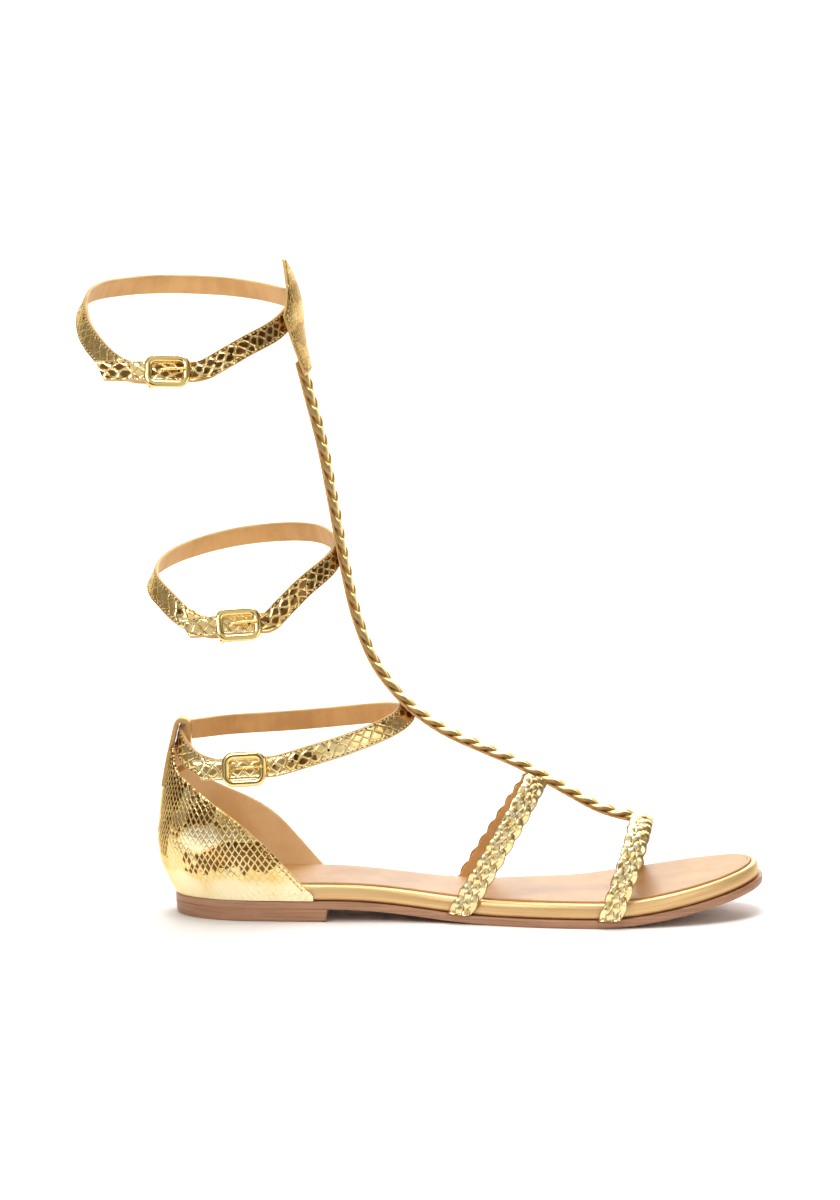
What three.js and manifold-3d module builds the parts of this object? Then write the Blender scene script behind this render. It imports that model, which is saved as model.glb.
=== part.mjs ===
// A flat gladiator sandal for the right foot, standing empty on its sole.
// Millimetres. +X points to the toe, +Y to the inner side of the foot, +Z up.
// The origin is the middle of the heel's flat bottom, on the floor.
import * as THREE from "three";
import { mergeVertices } from "three/addons/utils/BufferGeometryUtils.js";
import Module from "manifold-3d";

const wasm = await Module();
wasm.setup();

// Clearance between two pieces that touch.
const SEAM = 0.3;

// Sole
const SOLE_LENGTH = 253;
const BALL_WIDTH = 84;
const LIFT_LENGTH = 67;
const LIFT_HEIGHT = 5;
const OUTSOLE_THICKNESS = 3.4;
const FOOTBED_THICKNESS = 6.5;
const FOOTBED_INSET = 2;
const RECESS_DEPTH = 0.7;
const RECESS_INSET = 5;
const INSOLE_THICKNESS = 1.2;
const TOE_SPRING = 12.7;
const TOE_SKEW = 0.22;
const HEEL_BACK = -LIFT_LENGTH / 2;
const LIFT_FRONT = LIFT_LENGTH / 2;

// Heel counter and the loop at its top, which holds the ankle strap
const COUNTER_WALL = 1.5;
const COUNTER_HEIGHT = 63;
const COUNTER_OUTER_REACH = 61;
const COUNTER_INNER_REACH = 66;
const TAB_WIDTH = 9;
const TAB_WALL = 1.9;
const TAB_SLOT_PLAY = 2;
const TAB_TOP = 1.13;
const TAB_FOOT = 0.8;

// Braided straps
const SHAFT_HEIGHT = 281;
const SPINE_WIDTH = 13;
const SPINE_PITCH = 10;
const ARCH_WIDTH = 10;
const ARCH_PITCH = 6.5;
const ARCH_POWER = 2.35;
const BRAID_WALL = 2;
const BRAID_STRIP = 1.1;
const TOE_STRAP_FEET = { outer: 186.5, inner: 195 };
const INSTEP_STRAP_FEET = { outer: 121.5, inner: 120 };
const INSTEP_STRAP_JOIN = 0.155;

// Diamond patch at the top of the spine
const DIAMOND_HEIGHT = 49;
const DIAMOND_WIDTH = 37;
const DIAMOND_FOOT_WIDTH = 15;
const DIAMOND_WALL = 1.8;

// Buckled straps
const ANKLE_JOIN_ABOVE_COUNTER = 25.5;
const TOP_JOIN_BELOW_SHAFT = 21;
const STRAP_WIDTH = 9;
const STRAP_WALL = 1.7;
const TAIL_SLANT = 0.45;
const HOLE_RADIUS = 1.3;
const HOLE_SPACING = 8;
const HOLES_IN_FRONT = 5;
const PRONG_HOLE_AHEAD = 4.5;
const PRONG_HOLE_STRETCH = 2;
const FOLD_LENGTH = 8;
const TAIL_FLARE = 0.08;

// Buckles
const BUCKLE_LENGTH = 18;
const BUCKLE_WIRE = 2;
const BUCKLE_CORNER = 2.6;
const HINGE_WIRE = 1.6;
const HINGE_CORNER = 1;
const HINGE_ARM_AHEAD = 3;
const PRONG_WIRE = 1.3;
// The prong's bend, measured from the hinge bar: ahead to the toe bar and up from the buckle's plane.
const PRONG_FORM = [
  { ahead: 2.7, up: 1 },
  { ahead: 4.1, up: 2.7 },
  { ahead: 5.6, up: 3.9 },
  { ahead: 8, up: 3.9 },
];
const PRONG_HOOK_TURNS = [160, 205, 250, 295, 340];

// The outline of the sole: along is a share of its length from the heel, centre and half are shares of
// the ball width. The two round ends are formulas.
const SOLE_FORM = [
  { along: 0, centre: 0, half: 0.335 },
  { along: 0.13, centre: 0, half: 0.345 },
  { along: 0.25, centre: -0.004, half: 0.349 },
  { along: 0.38, centre: -0.022, half: 0.318 },
  { along: 0.5, centre: -0.04, half: 0.355 },
  { along: 0.62, centre: -0.034, half: 0.445 },
  { along: 0.72, centre: -0.012, half: 0.492 },
  { along: 0.82, centre: 0.018, half: 0.495 },
  { along: 1, centre: 0.085, half: 0.475 },
];
const HEEL_ROUND = { share: 0.15, power: 2.15 };
const TOE_ROUND = { share: 0.27, power: 2.2 };
const FOREFOOT = { start: 0.56, end: 0.69, curl: 1.5 };
const SOLE_STATIONS = 30;

// The counter's collar: turn runs from the back, 0, to the front corner, 1. Its height on the outer and the
// inner side is a share of the counter's height.
const COLLAR_FORM = [
  { turn: 0, outer: 1, inner: 1 },
  { turn: 0.13, outer: 0.985, inner: 0.985 },
  { turn: 0.26, outer: 0.84, inner: 0.85 },
  { turn: 0.4, outer: 0.75, inner: 0.75 },
  { turn: 0.55, outer: 0.64, inner: 0.65 },
  { turn: 0.68, outer: 0.525, inner: 0.56 },
  { turn: 0.785, outer: 0.395, inner: 0.445 },
  { turn: 0.87, outer: 0.255, inner: 0.285 },
  { turn: 0.94, outer: 0.125, inner: 0.14 },
  { turn: 1, outer: 0.03, inner: 0.03 },
];
// The last's heel: how far the back stands out behind the sole, and how wide it is against the sole.
// rise is a share of the counter's height, back a share of the same.
const HEEL_FORM = [
  { rise: 0, back: 0, wide: 0.996 },
  { rise: 0.1, back: 0.055, wide: 1.015 },
  { rise: 0.2, back: 0.1, wide: 1.045 },
  { rise: 0.37, back: 0.126, wide: 1.04 },
  { rise: 0.55, back: 0.113, wide: 0.98 },
  { rise: 0.75, back: 0.088, wide: 0.85 },
  { rise: 0.92, back: 0.057, wide: 0.74 },
  { rise: 1.02, back: 0.034, wide: 0.7 },
  { rise: 1.18, back: -0.004, wide: 0.68 },
];

// The spine, from the toe strap up the instep and the shin: forward and aside, to the inner side, are
// shares of the sole's length, rise is a share of the shaft's height, twist turns its face to the outer
// side, in degrees.
const SPINE_FORM = [
  { forward: 0.66, rise: 0.1425, aside: 0.0079, twist: 0 },
  { forward: 0.593, rise: 0.1585, aside: 0.0079, twist: 0 },
  { forward: 0.532, rise: 0.187, aside: 0.0079, twist: 0 },
  { forward: 0.461, rise: 0.223, aside: 0.0079, twist: 0 },
  { forward: 0.393, rise: 0.25, aside: 0.0079, twist: 0 },
  { forward: 0.329, rise: 0.276, aside: 0.0079, twist: 0 },
  { forward: 0.277, rise: 0.307, aside: 0.0079, twist: 0 },
  { forward: 0.239, rise: 0.341, aside: 0.0079, twist: 0 },
  { forward: 0.204, rise: 0.386, aside: 0.0071, twist: 1 },
  { forward: 0.175, rise: 0.4535, aside: 0.0059, twist: 3 },
  { forward: 0.155, rise: 0.532, aside: 0.004, twist: 4 },
  { forward: 0.134, rise: 0.637, aside: 0.0012, twist: 5 },
  { forward: 0.1175, rise: 0.7185, aside: -0.002, twist: 6 },
  { forward: 0.095, rise: 0.799, aside: -0.0059, twist: 6 },
  { forward: 0.0755, rise: 0.873, aside: -0.0099, twist: 7 },
  { forward: 0.0655, rise: 0.943, aside: -0.013, twist: 8 },
  { forward: 0.0455, rise: 1, aside: -0.0158, twist: 8 },
];

// The three buckled straps. join is the height where one meets the spine. As shares of the sole's length,
// back is its distance behind the heel's middle, or null in the counter's tab, side its half width across
// the leg and aside how far its back lies to the inner side.
// lift is the height of its middle above the spine's, buckle is where the buckle sits, as a share of the loop
// from the front round the outer side, lean tips its band inwards, tail is the free end in strap widths.
// Each row of droop has turn, a share of the loop, and drop, a share of its length from front to back.
const UNDER_BRAID = -BRAID_WALL / 2 - SEAM * 0.9 - STRAP_WALL / 2;
const UNDER_PATCH = BRAID_WALL / 2 + BRAID_STRIP * 0.6 - STRAP_WALL / 2 - SEAM;
const STRAPS = [
  {
    name: "ankle",
    join: COUNTER_HEIGHT + ANKLE_JOIN_ABOVE_COUNTER,
    back: null,
    side: 0.1186,
    aside: 0,
    lift: UNDER_BRAID,
    buckle: 0.34,
    lean: 13,
    tail: 1.444,
    droop: [
      { turn: 0, drop: 0 },
      { turn: 0.1, drop: 0.06 },
      { turn: 0.2, drop: 0.14 },
      { turn: 0.28, drop: 0.21 },
      { turn: 0.34, drop: 0.23 },
      { turn: 0.4, drop: 0.21 },
      { turn: 0.5, drop: 0.113 },
      { turn: 0.62, drop: 0.1 },
      { turn: 0.75, drop: 0.085 },
      { turn: 0.9, drop: 0.03 },
      { turn: 1, drop: 0 },
    ],
  },
  {
    name: "middle",
    join: SHAFT_HEIGHT * 0.5516,
    back: 0.1684,
    side: 0.1462,
    aside: 0.0158,
    lift: UNDER_BRAID,
    buckle: 0.272,
    lean: 26,
    tail: 1.667,
    droop: [
      { turn: 0, drop: 0 },
      { turn: 0.07, drop: 0.07 },
      { turn: 0.12, drop: 0.145 },
      { turn: 0.16, drop: 0.245 },
      { turn: 0.19, drop: 0.325 },
      { turn: 0.24, drop: 0.352 },
      { turn: 0.28, drop: 0.358 },
      { turn: 0.34, drop: 0.305 },
      { turn: 0.4, drop: 0.21 },
      { turn: 0.5, drop: 0.115 },
      { turn: 0.62, drop: 0.02 },
      { turn: 0.75, drop: -0.057 },
      { turn: 0.88, drop: -0.075 },
      { turn: 1, drop: 0 },
    ],
  },
  {
    name: "top",
    join: SHAFT_HEIGHT - TOP_JOIN_BELOW_SHAFT,
    back: 0.2826,
    side: 0.2055,
    aside: 0.0316,
    lift: UNDER_PATCH,
    buckle: 0.27,
    lean: 28,
    tail: 2.3,
    droop: [
      { turn: 0, drop: 0 },
      { turn: 0.06, drop: 0.08 },
      { turn: 0.12, drop: 0.145 },
      { turn: 0.16, drop: 0.205 },
      { turn: 0.19, drop: 0.25 },
      { turn: 0.24, drop: 0.272 },
      { turn: 0.28, drop: 0.27 },
      { turn: 0.33, drop: 0.235 },
      { turn: 0.4, drop: 0.12 },
      { turn: 0.5, drop: -0.035 },
      { turn: 0.62, drop: -0.075 },
      { turn: 0.75, drop: -0.068 },
      { turn: 0.88, drop: -0.033 },
      { turn: 1, drop: 0 },
    ],
  },
];

const MATERIALS = {
  outsole: { color: 0x9a6a4c, roughness: 0.6, metalness: 0 },
  footbed: { color: 0xd9a94f, roughness: 0.35, metalness: 0.6 },
  insole: { color: 0xd8a566, roughness: 0.55, metalness: 0 },
  snake: { color: 0xe0bd5a, roughness: 0.25, metalness: 0.9 },
  braid: { color: 0xe3c06a, roughness: 0.25, metalness: 0.9 },
  metal: { color: 0xf0cf6a, roughness: 0.15, metalness: 1 },
};

const mix = (a, b, t) => a + (b - a) * t;
const clamp01 = (v) => Math.min(1, Math.max(0, v));
const radians = THREE.MathUtils.degToRad;
const UP = new THREE.Vector3(0, 0, 1);

// A smooth curve through one column of a table, read against another.
function curveOf(rows, from, to) {
  const xs = rows.map((row) => row[from]);
  const ys = rows.map((row) => row[to]);
  const last = xs.length - 1;
  const slopes = xs.map((x, i) => {
    const a = Math.max(0, i - 1);
    const b = Math.min(last, i + 1);
    return (ys[b] - ys[a]) / (xs[b] - xs[a]);
  });
  return (x) => {
    if (x <= xs[0]) return ys[0];
    if (x >= xs[last]) return ys[last];
    const i = xs.findIndex((v) => v > x) - 1;
    const step = xs[i + 1] - xs[i];
    const t = (x - xs[i]) / step;
    const start = (1 + 2 * t) * (1 - t) ** 2 * ys[i] + t * (1 - t) ** 2 * step * slopes[i];
    const end = t ** 2 * (3 - 2 * t) * ys[i + 1] + t ** 2 * (t - 1) * step * slopes[i + 1];
    return start + end;
  };
}

// Cap triangles for a ring whose point j lies opposite point n - j: a sole's outline.
function outlineCap(n) {
  const faces = [];
  for (let j = 0; j < n / 2; j++) {
    const [a, b, c, d] = [j, j + 1, n - j - 1, (n - j) % n];
    if (b !== c) faces.push([a, b, c]);
    if (a !== d) faces.push([a, c, d]);
  }
  return faces;
}

// Cap triangles for a ring that runs up one face of a wall and down the other.
function wallCap(n) {
  const faces = [];
  for (let j = 0; j < n / 2 - 1; j++) {
    const [a, b, c, d] = [j, j + 1, n - j - 2, n - j - 1];
    faces.push([a, b, c], [a, c, d]);
  }
  return faces;
}

// Cap triangles for a convex ring.
function fanCap(n) {
  return Array.from({ length: n - 2 }, (_, i) => [0, i + 1, i + 2]);
}

// A closed solid through rings with equal numbers of points. With no cap the last ring joins the first.
function loft(rings, cap) {
  const n = rings[0].length;
  const count = rings.length;
  const faces = [];
  for (let k = 0; k < (cap ? count - 1 : count); k++) {
    const next = (k + 1) % count;
    for (let j = 0; j < n; j++) {
      const [a, b] = [k * n + j, k * n + ((j + 1) % n)];
      const [d, c] = [next * n + j, next * n + ((j + 1) % n)];
      faces.push([a, b, c], [a, c, d]);
    }
  }
  if (cap) {
    for (const [a, b, c] of cap(n)) {
      faces.push([c, b, a]);
      faces.push([a, b, c].map((i) => i + (count - 1) * n));
    }
  }
  const points = rings.flat();
  const volume = faces.reduce((sum, [a, b, c]) => {
    return sum + points[a].dot(new THREE.Vector3().crossVectors(points[b], points[c]));
  }, 0);
  const outward = volume < 0 ? faces.map(([a, b, c]) => [c, b, a]) : faces;
  return new THREE.BufferGeometry().setFromPoints(points).setIndex(outward.flat());
}

function toSolid(geometry) {
  const bare = geometry.clone();
  bare.deleteAttribute("normal");
  bare.deleteAttribute("uv");
  const merged = mergeVertices(bare, 1e-4);
  return new wasm.Manifold(
    new wasm.Mesh({
      numProp: 3,
      vertProperties: merged.attributes.position.array,
      triVerts: new Uint32Array(merged.index.array),
    }),
  );
}

function toGeometry(solid) {
  const mesh = solid.getMesh();
  return new THREE.BufferGeometry()
    .setAttribute("position", new THREE.BufferAttribute(mesh.vertProperties, 3))
    .setIndex(new THREE.BufferAttribute(mesh.triVerts, 1));
}

function named(name, material, geometry) {
  const mesh = new THREE.Mesh(geometry, new THREE.MeshStandardMaterial(MATERIALS[material]));
  mesh.geometry.computeVertexNormals();
  mesh.name = name;
  return mesh;
}

// Sole

const soleCentre = curveOf(SOLE_FORM, "along", "centre");
const soleHalf = curveOf(SOLE_FORM, "along", "half");

// How full a round end is, from 0 at its tip to 1 where the sides take over.
function roundness(distance, end) {
  const gone = clamp01(distance / end.share);
  return (1 - (1 - gone) ** end.power) ** (1 / end.power);
}

// A point on the sole's edge: side is -1 on the outer and 1 on the inner side.
function soleEdge(along, side) {
  const half = soleHalf(along) * roundness(along, HEEL_ROUND) * roundness(1 - along, TOE_ROUND);
  const y = (soleCentre(along) + side * half) * BALL_WIDTH;
  return new THREE.Vector2(HEEL_BACK + along * SOLE_LENGTH, y);
}

// Moves each point of a closed outline inwards.
function insetOutline(points, inset) {
  return points.map((p, j) => {
    const before = points[(j + points.length - 1) % points.length];
    const after = points[(j + 1) % points.length];
    const run = after.clone().sub(before).normalize();
    return new THREE.Vector2(p.x - run.y * inset, p.y + run.x * inset);
  });
}

// The outline from the back of the heel up the outer side to the toe and back down the inner side.
function soleOutline(inset, until = 1) {
  const shares = Array.from({ length: SOLE_STATIONS + 1 }, (_, i) => {
    return until < 1
      ? until * (1 - Math.cos((Math.PI / 2) * (i / SOLE_STATIONS)))
      : (1 - Math.cos(Math.PI * (i / SOLE_STATIONS))) / 2;
  });
  const outer = shares.map((share) => soleEdge(share, -1));
  const inner = shares.map((share) => soleEdge(share, 1)).slice(1, until < 1 ? undefined : -1);
  return insetOutline([...outer, ...inner.reverse()], inset);
}

// Height of the outsole's underside above the floor.
function treadHeight(x, y) {
  const along = (x + TOE_SKEW * y - HEEL_BACK) / SOLE_LENGTH;
  const forefoot = HEEL_BACK + FOREFOOT.start * SOLE_LENGTH;
  const arch = (1 + Math.cos(Math.PI * clamp01((x - LIFT_FRONT) / (forefoot - LIFT_FRONT)))) / 2;
  const toe = Math.max(0, (along - FOREFOOT.end) / (1 - FOREFOOT.end)) ** FOREFOOT.curl;
  return (LIFT_HEIGHT + SEAM) * arch + TOE_SPRING * toe;
}

const outsoleTop = (x, y) => treadHeight(x, y) + OUTSOLE_THICKNESS;
const footbedTop = (x, y) => outsoleTop(x, y) + SEAM + FOOTBED_THICKNESS;

// A layer of the sole: each row has inset from the sole's edge and rise above a base height.
function soleLayer(rows, baseAt) {
  const rings = rows.map(({ inset, rise }) =>
    soleOutline(inset).map((p) => new THREE.Vector3(p.x, p.y, baseAt(p.x, p.y) + rise)),
  );
  return loft(rings, outlineCap);
}

function outsole() {
  const rows = [
    { inset: 1.3, rise: 0 },
    { inset: 0.35, rise: OUTSOLE_THICKNESS * 0.22 },
    { inset: 0, rise: OUTSOLE_THICKNESS * 0.6 },
    { inset: 0.25, rise: OUTSOLE_THICKNESS },
  ];
  return soleLayer(rows, treadHeight);
}

function footbed() {
  const edge = FOOTBED_INSET;
  const rows = [
    { inset: edge + 0.5, rise: 0 },
    { inset: edge, rise: FOOTBED_THICKNESS * 0.15 },
    { inset: edge + 0.1, rise: FOOTBED_THICKNESS * 0.62 },
    { inset: edge + 0.9, rise: FOOTBED_THICKNESS * 0.9 },
    { inset: edge + 2.2, rise: FOOTBED_THICKNESS },
    { inset: RECESS_INSET, rise: FOOTBED_THICKNESS - 0.15 },
    { inset: RECESS_INSET + 0.35, rise: FOOTBED_THICKNESS - RECESS_DEPTH },
  ];
  return soleLayer(rows, (x, y) => outsoleTop(x, y) + SEAM);
}

function insole() {
  const edge = RECESS_INSET + 0.35 + SEAM;
  const rows = [
    { inset: edge, rise: 0 },
    { inset: edge, rise: INSOLE_THICKNESS * 0.7 },
    { inset: edge + 0.8, rise: INSOLE_THICKNESS },
  ];
  return soleLayer(rows, (x, y) => footbedTop(x, y) - RECESS_DEPTH + SEAM);
}

function heelLift() {
  const rows = [
    { inset: 1.4, rise: 0 },
    { inset: 0.6, rise: LIFT_HEIGHT * 0.16 },
    { inset: 0.3, rise: LIFT_HEIGHT },
  ];
  const front = (LIFT_FRONT - HEEL_BACK) / SOLE_LENGTH;
  const rings = rows.map(({ inset, rise }) =>
    soleOutline(inset, front).map((p) => {
      return new THREE.Vector3(Math.min(p.x, LIFT_FRONT), p.y, rise);
    }),
  );
  return loft(rings, wallCapFrom(1));
}

// The heel lift's ring has an odd count: its first point is the back of the heel, the rest lie in pairs.
function wallCapFrom(first) {
  return (n) => {
    const pairs = wallCap(n - first).map((face) => face.map((i) => i + first));
    return [[0, first, n - 1], ...pairs];
  };
}

// Heel counter

const outerCollar = curveOf(COLLAR_FORM, "turn", "outer");
const innerCollar = curveOf(COLLAR_FORM, "turn", "inner");
const heelBack = curveOf(HEEL_FORM, "rise", "back");
const heelWide = curveOf(HEEL_FORM, "rise", "wide");

// A point of the counter's wall. turn runs from -1, the outer front corner, past 0 at the back, to 1.
function counterPoint(turn, rise, depth) {
  const side = turn < 0 ? -1 : 1;
  const reach = side < 0 ? COUNTER_OUTER_REACH : COUNTER_INNER_REACH;
  const along = (t) => (reach / SOLE_LENGTH) * (1 - Math.cos((Math.abs(t) * Math.PI) / 2));
  const here = soleEdge(along(turn), side);
  const step = 0.01;
  const ahead = soleEdge(along(Math.abs(turn) + step), side);
  const behind = soleEdge(along(Math.abs(turn) - step), Math.abs(turn) < step ? -side : side);
  const run = ahead.sub(behind).normalize().multiplyScalar(side);
  const weight = 1 - Math.abs(turn) ** 1.6;
  const inset = depth + 0.15;
  const x = here.x + run.y * inset - heelBack(rise) * COUNTER_HEIGHT * weight;
  const y = here.y * heelWide(rise) - run.x * inset;
  return new THREE.Vector3(x, y, outsoleTop(here.x, here.y) + SEAM + rise * COUNTER_HEIGHT);
}

function counterShell() {
  const columns = 28;
  const rows = 7;
  const rings = Array.from({ length: columns + 1 }, (_, i) => {
    const turn = -1 + (2 * i) / columns;
    const top = turn < 0 ? outerCollar(-turn) : innerCollar(turn);
    const climb = Array.from({ length: rows + 1 }, (_, k) => (top * k) / rows);
    const outside = climb.map((rise) => counterPoint(turn, rise, 0));
    const inside = climb.map((rise) => counterPoint(turn, rise, COUNTER_WALL)).reverse();
    return [...outside, ...inside];
  });
  return loft(rings, wallCap);
}

// The tab goes up from the back of the counter, over the ankle strap and down inside it to the wall.
const TAB_SPAN = TAB_WALL + STRAP_WALL + TAB_SLOT_PLAY;

// How far behind the heel's middle the ankle strap lies in the slot.
function slotBack() {
  return TAB_SPAN / -2 - counterPoint(0, 1.03, COUNTER_WALL / 2).x;
}

function tabLoop() {
  const wallMiddle = COUNTER_WALL / 2;
  const outer = (rise) => counterPoint(0, rise, wallMiddle);
  const span = TAB_SPAN;
  const crown = outer(TAB_TOP);
  const bend = Array.from({ length: 7 }, (_, i) => {
    const angle = Math.PI * (i / 6);
    const lift = (Math.sin(angle) * span) / 2;
    return new THREE.Vector3(crown.x + (span * (1 - Math.cos(angle))) / 2, 0, crown.z + lift);
  });
  const climb = [0.72, 0.85, 0.95, 1.05].map(outer);
  const inside = [1, 0.88].map((rise) => outer(rise).setX(crown.x + span));
  const back = counterPoint(0, TAB_FOOT, wallMiddle + span * 0.55);
  const end = counterPoint(0, TAB_FOOT - 0.06, COUNTER_WALL + TAB_WALL / 3);
  const route = [...climb, ...bend, ...inside, back, end];
  const rings = route.map((p, i) => {
    const ahead = route[Math.min(i + 1, route.length - 1)];
    const behind = route[Math.max(i - 1, 0)];
    const run = new THREE.Vector3().subVectors(ahead, behind).normalize();
    const out = new THREE.Vector3(-run.z, 0, run.x).multiplyScalar(TAB_WALL / 2);
    return [
      [1, -1],
      [1, 1],
      [-1, 1],
      [-1, -1],
    ].map(([o, w]) => p.clone().addScaledVector(out, o).setY((w * TAB_WIDTH) / 2));
  });
  return loft(rings, fanCap);
}

function heelCounter() {
  return toGeometry(toSolid(counterShell()).add(toSolid(tabLoop())));
}

// Spine and the two arched straps

const spineCurve = new THREE.CatmullRomCurve3(
  SPINE_FORM.map(({ forward, rise, aside }) => {
    return new THREE.Vector3(forward * SOLE_LENGTH, aside * SOLE_LENGTH, rise * SHAFT_HEIGHT);
  }),
  false,
  "centripetal",
);
const SPINE_LENGTH = spineCurve.getLength();
const spineTwist = curveOf(SPINE_FORM, "rise", "twist");

// Position and directions on the spine: run climbs it, out points away from the leg, across to the inner side.
function spineFrame(distance) {
  const share = clamp01(distance / SPINE_LENGTH);
  const point = spineCurve.getPointAt(share);
  const run = spineCurve.getTangentAt(share);
  const out = new THREE.Vector3(run.z, 0, -run.x).normalize();
  const twist = radians(spineTwist(point.z / SHAFT_HEIGHT));
  out.applyAxisAngle(run, -twist);
  const across = new THREE.Vector3().crossVectors(out, run);
  return { point, run, out, across };
}

// The distance along the spine where it reaches a height.
function spineDistance(height) {
  let [low, high] = [0, SPINE_LENGTH];
  for (let i = 0; i < 30; i++) {
    const middle = (low + high) / 2;
    if (spineFrame(middle).point.z < height) low = middle;
    else high = middle;
  }
  return low;
}

// Where a strap of the foot meets the floor side of the sole, beside the footbed's edge.
function strapFoot(fromHeel, side) {
  const along = fromHeel / SOLE_LENGTH;
  const step = 0.01;
  const here = soleEdge(along, side);
  const run = soleEdge(along + step, side).sub(soleEdge(along - step, side)).normalize();
  const offset = FOOTBED_INSET - SEAM - 0.35 - BRAID_WALL / 2;
  const x = here.x + side * run.y * offset;
  const y = here.y - side * run.x * offset;
  return { point: new THREE.Vector3(x, y, outsoleTop(x, y) - ARCH_WIDTH / 3), slope: run.y / run.x };
}

// An arch from the outer edge of the sole over the foot to the inner edge, through a point on the spine.
function archFrames(feet, crown) {
  const outer = strapFoot(feet.outer, -1);
  const inner = strapFoot(feet.inner, 1);
  const fullness = 2 / ARCH_POWER;
  const at = (t) => {
    const angle = Math.PI * t;
    const foot = t < 0.5 ? outer.point : inner.point;
    const rise = Math.sin(angle) ** fullness;
    const spread = Math.abs(Math.cos(angle)) ** fullness;
    return new THREE.Vector3(
      mix(foot.x, crown.x, rise),
      mix(crown.y, foot.y, spread),
      mix(foot.z, crown.z, rise),
    );
  };
  const samples = 240;
  const dense = Array.from({ length: samples + 1 }, (_, i) => at(i / samples));
  const curve = new THREE.CatmullRomCurve3(dense);
  const length = curve.getLength();
  const lean = new THREE.Vector3().subVectors(crown, outer.point).setY(0).normalize();
  const frame = (distance) => {
    const share = clamp01(distance / length);
    const point = curve.getPointAt(share);
    const run = curve.getTangentAt(share);
    const nearFoot = clamp01(1 - (point.z - outer.point.z) / (crown.z - outer.point.z));
    const slope = (share < 0.5 ? outer.slope : inner.slope) * nearFoot;
    const across = new THREE.Vector3(lean.z, slope, -lean.x);
    across.addScaledVector(run, -across.dot(run)).normalize();
    const out = new THREE.Vector3().crossVectors(run, across);
    if (out.z + out.y * Math.sign(point.y - crown.y) < 0) out.negate();
    return { point, run, out, across };
  };
  return { frame, length };
}

// A flat braid: one wall with its strips raised in turn on the left and on the right.
function braid(frame, length, width, pitch) {
  const steps = 2 * Math.round(length / pitch);
  const half = width / 2;
  const face = BRAID_WALL / 2;
  const rings = Array.from({ length: steps + 1 }, (_, k) => {
    const distance = (length * k) / steps;
    const taper = Math.min(1, distance / pitch, (length - distance) / pitch);
    const left = k % 2 === 0 ? 1 : 0.1;
    const right = 1.1 - left;
    return [
      { side: -0.94, rise: -face },
      { side: -0.9 - 0.1 * left, rise: face * 0.6 },
      { side: -0.55, rise: face + BRAID_STRIP * left * taper },
      { side: 0, rise: face + BRAID_STRIP * 0.35 * taper },
      { side: 0.55, rise: face + BRAID_STRIP * right * taper },
      { side: 0.9 + 0.1 * right, rise: face * 0.6 },
      { side: 0.94, rise: -face },
    ].map(({ side, rise }) => {
      const shear = (0.5 - Math.abs(side)) * pitch * 0.45 * taper;
      const { point, out, across } = frame(distance + shear);
      return point.addScaledVector(across, side * half).addScaledVector(out, rise);
    });
  });
  return loft(rings, fanCap);
}

const SPINE_TOP = spineDistance(SHAFT_HEIGHT - DIAMOND_HEIGHT) + 6;

function braidedUpper() {
  const toe = archFrames(TOE_STRAP_FEET, spineFrame(0).point);
  const joinAt = SPINE_LENGTH * INSTEP_STRAP_JOIN;
  const join = spineFrame(joinAt);
  const instepCrown = join.point.clone().addScaledVector(join.out, -BRAID_WALL * 0.6);
  const instep = archFrames(INSTEP_STRAP_FEET, instepCrown);
  const pieces = [
    braid((distance) => spineFrame(distance - 3), SPINE_TOP + 3, SPINE_WIDTH, SPINE_PITCH),
    braid(toe.frame, toe.length, ARCH_WIDTH, ARCH_PITCH),
    braid(instep.frame, instep.length, ARCH_WIDTH, ARCH_PITCH),
  ].map(toSolid);
  const room = [
    { inset: -ARCH_WIDTH, rise: -ARCH_WIDTH },
    { inset: -ARCH_WIDTH, rise: SEAM },
    { inset: FOOTBED_INSET - SEAM, rise: SEAM },
    { inset: FOOTBED_INSET - SEAM, rise: FOOTBED_THICKNESS },
  ];
  const whole = pieces.reduce((sum, piece) => sum.add(piece));
  return toGeometry(whole.subtract(toSolid(soleLayer(room, outsoleTop))));
}

// Diamond patch

// Height of the patch's inner face above the spine's middle line.
const PATCH_LIFT = BRAID_WALL / 2 + BRAID_STRIP * 0.6 + SEAM;

function diamondPatch() {
  const top = SPINE_LENGTH;
  const bottom = spineDistance(SHAFT_HEIGHT - DIAMOND_HEIGHT);
  const shape = [
    { down: 0, half: 0.02 },
    { down: 0.12, half: 0.27 },
    { down: 0.24, half: 0.53 },
    { down: 0.36, half: 0.79 },
    { down: 0.45, half: 1 },
    { down: 0.6, half: 0.83 },
    { down: 0.8, half: mix(1, DIAMOND_FOOT_WIDTH / DIAMOND_WIDTH, 0.636) },
    { down: 1, half: DIAMOND_FOOT_WIDTH / DIAMOND_WIDTH },
  ];
  const columns = 6;
  const loop = STRAPS.find(({ name }) => name === "top");
  const back = loop.back * SOLE_LENGTH;
  const radius = (loop.side * SOLE_LENGTH) ** 2 / ((back + spineFrame(top).point.x) / 2);
  const rings = shape.map(({ down, half }) => {
    const { point, out, across } = spineFrame(mix(top, bottom, down));
    const wall = (depth) =>
      Array.from({ length: columns + 1 }, (_, i) => {
        const reach = half * (DIAMOND_WIDTH / 2) * (-1 + (2 * i) / columns);
        const angle = reach / radius;
        return point
          .clone()
          .addScaledVector(across, (radius + depth) * Math.sin(angle))
          .addScaledVector(out, PATCH_LIFT + depth - (radius + depth) * (1 - Math.cos(angle)));
      });
    return [...wall(0), ...wall(DIAMOND_WALL).reverse()];
  });
  return loft(rings, wallCap);
}

// Buckled straps

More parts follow.
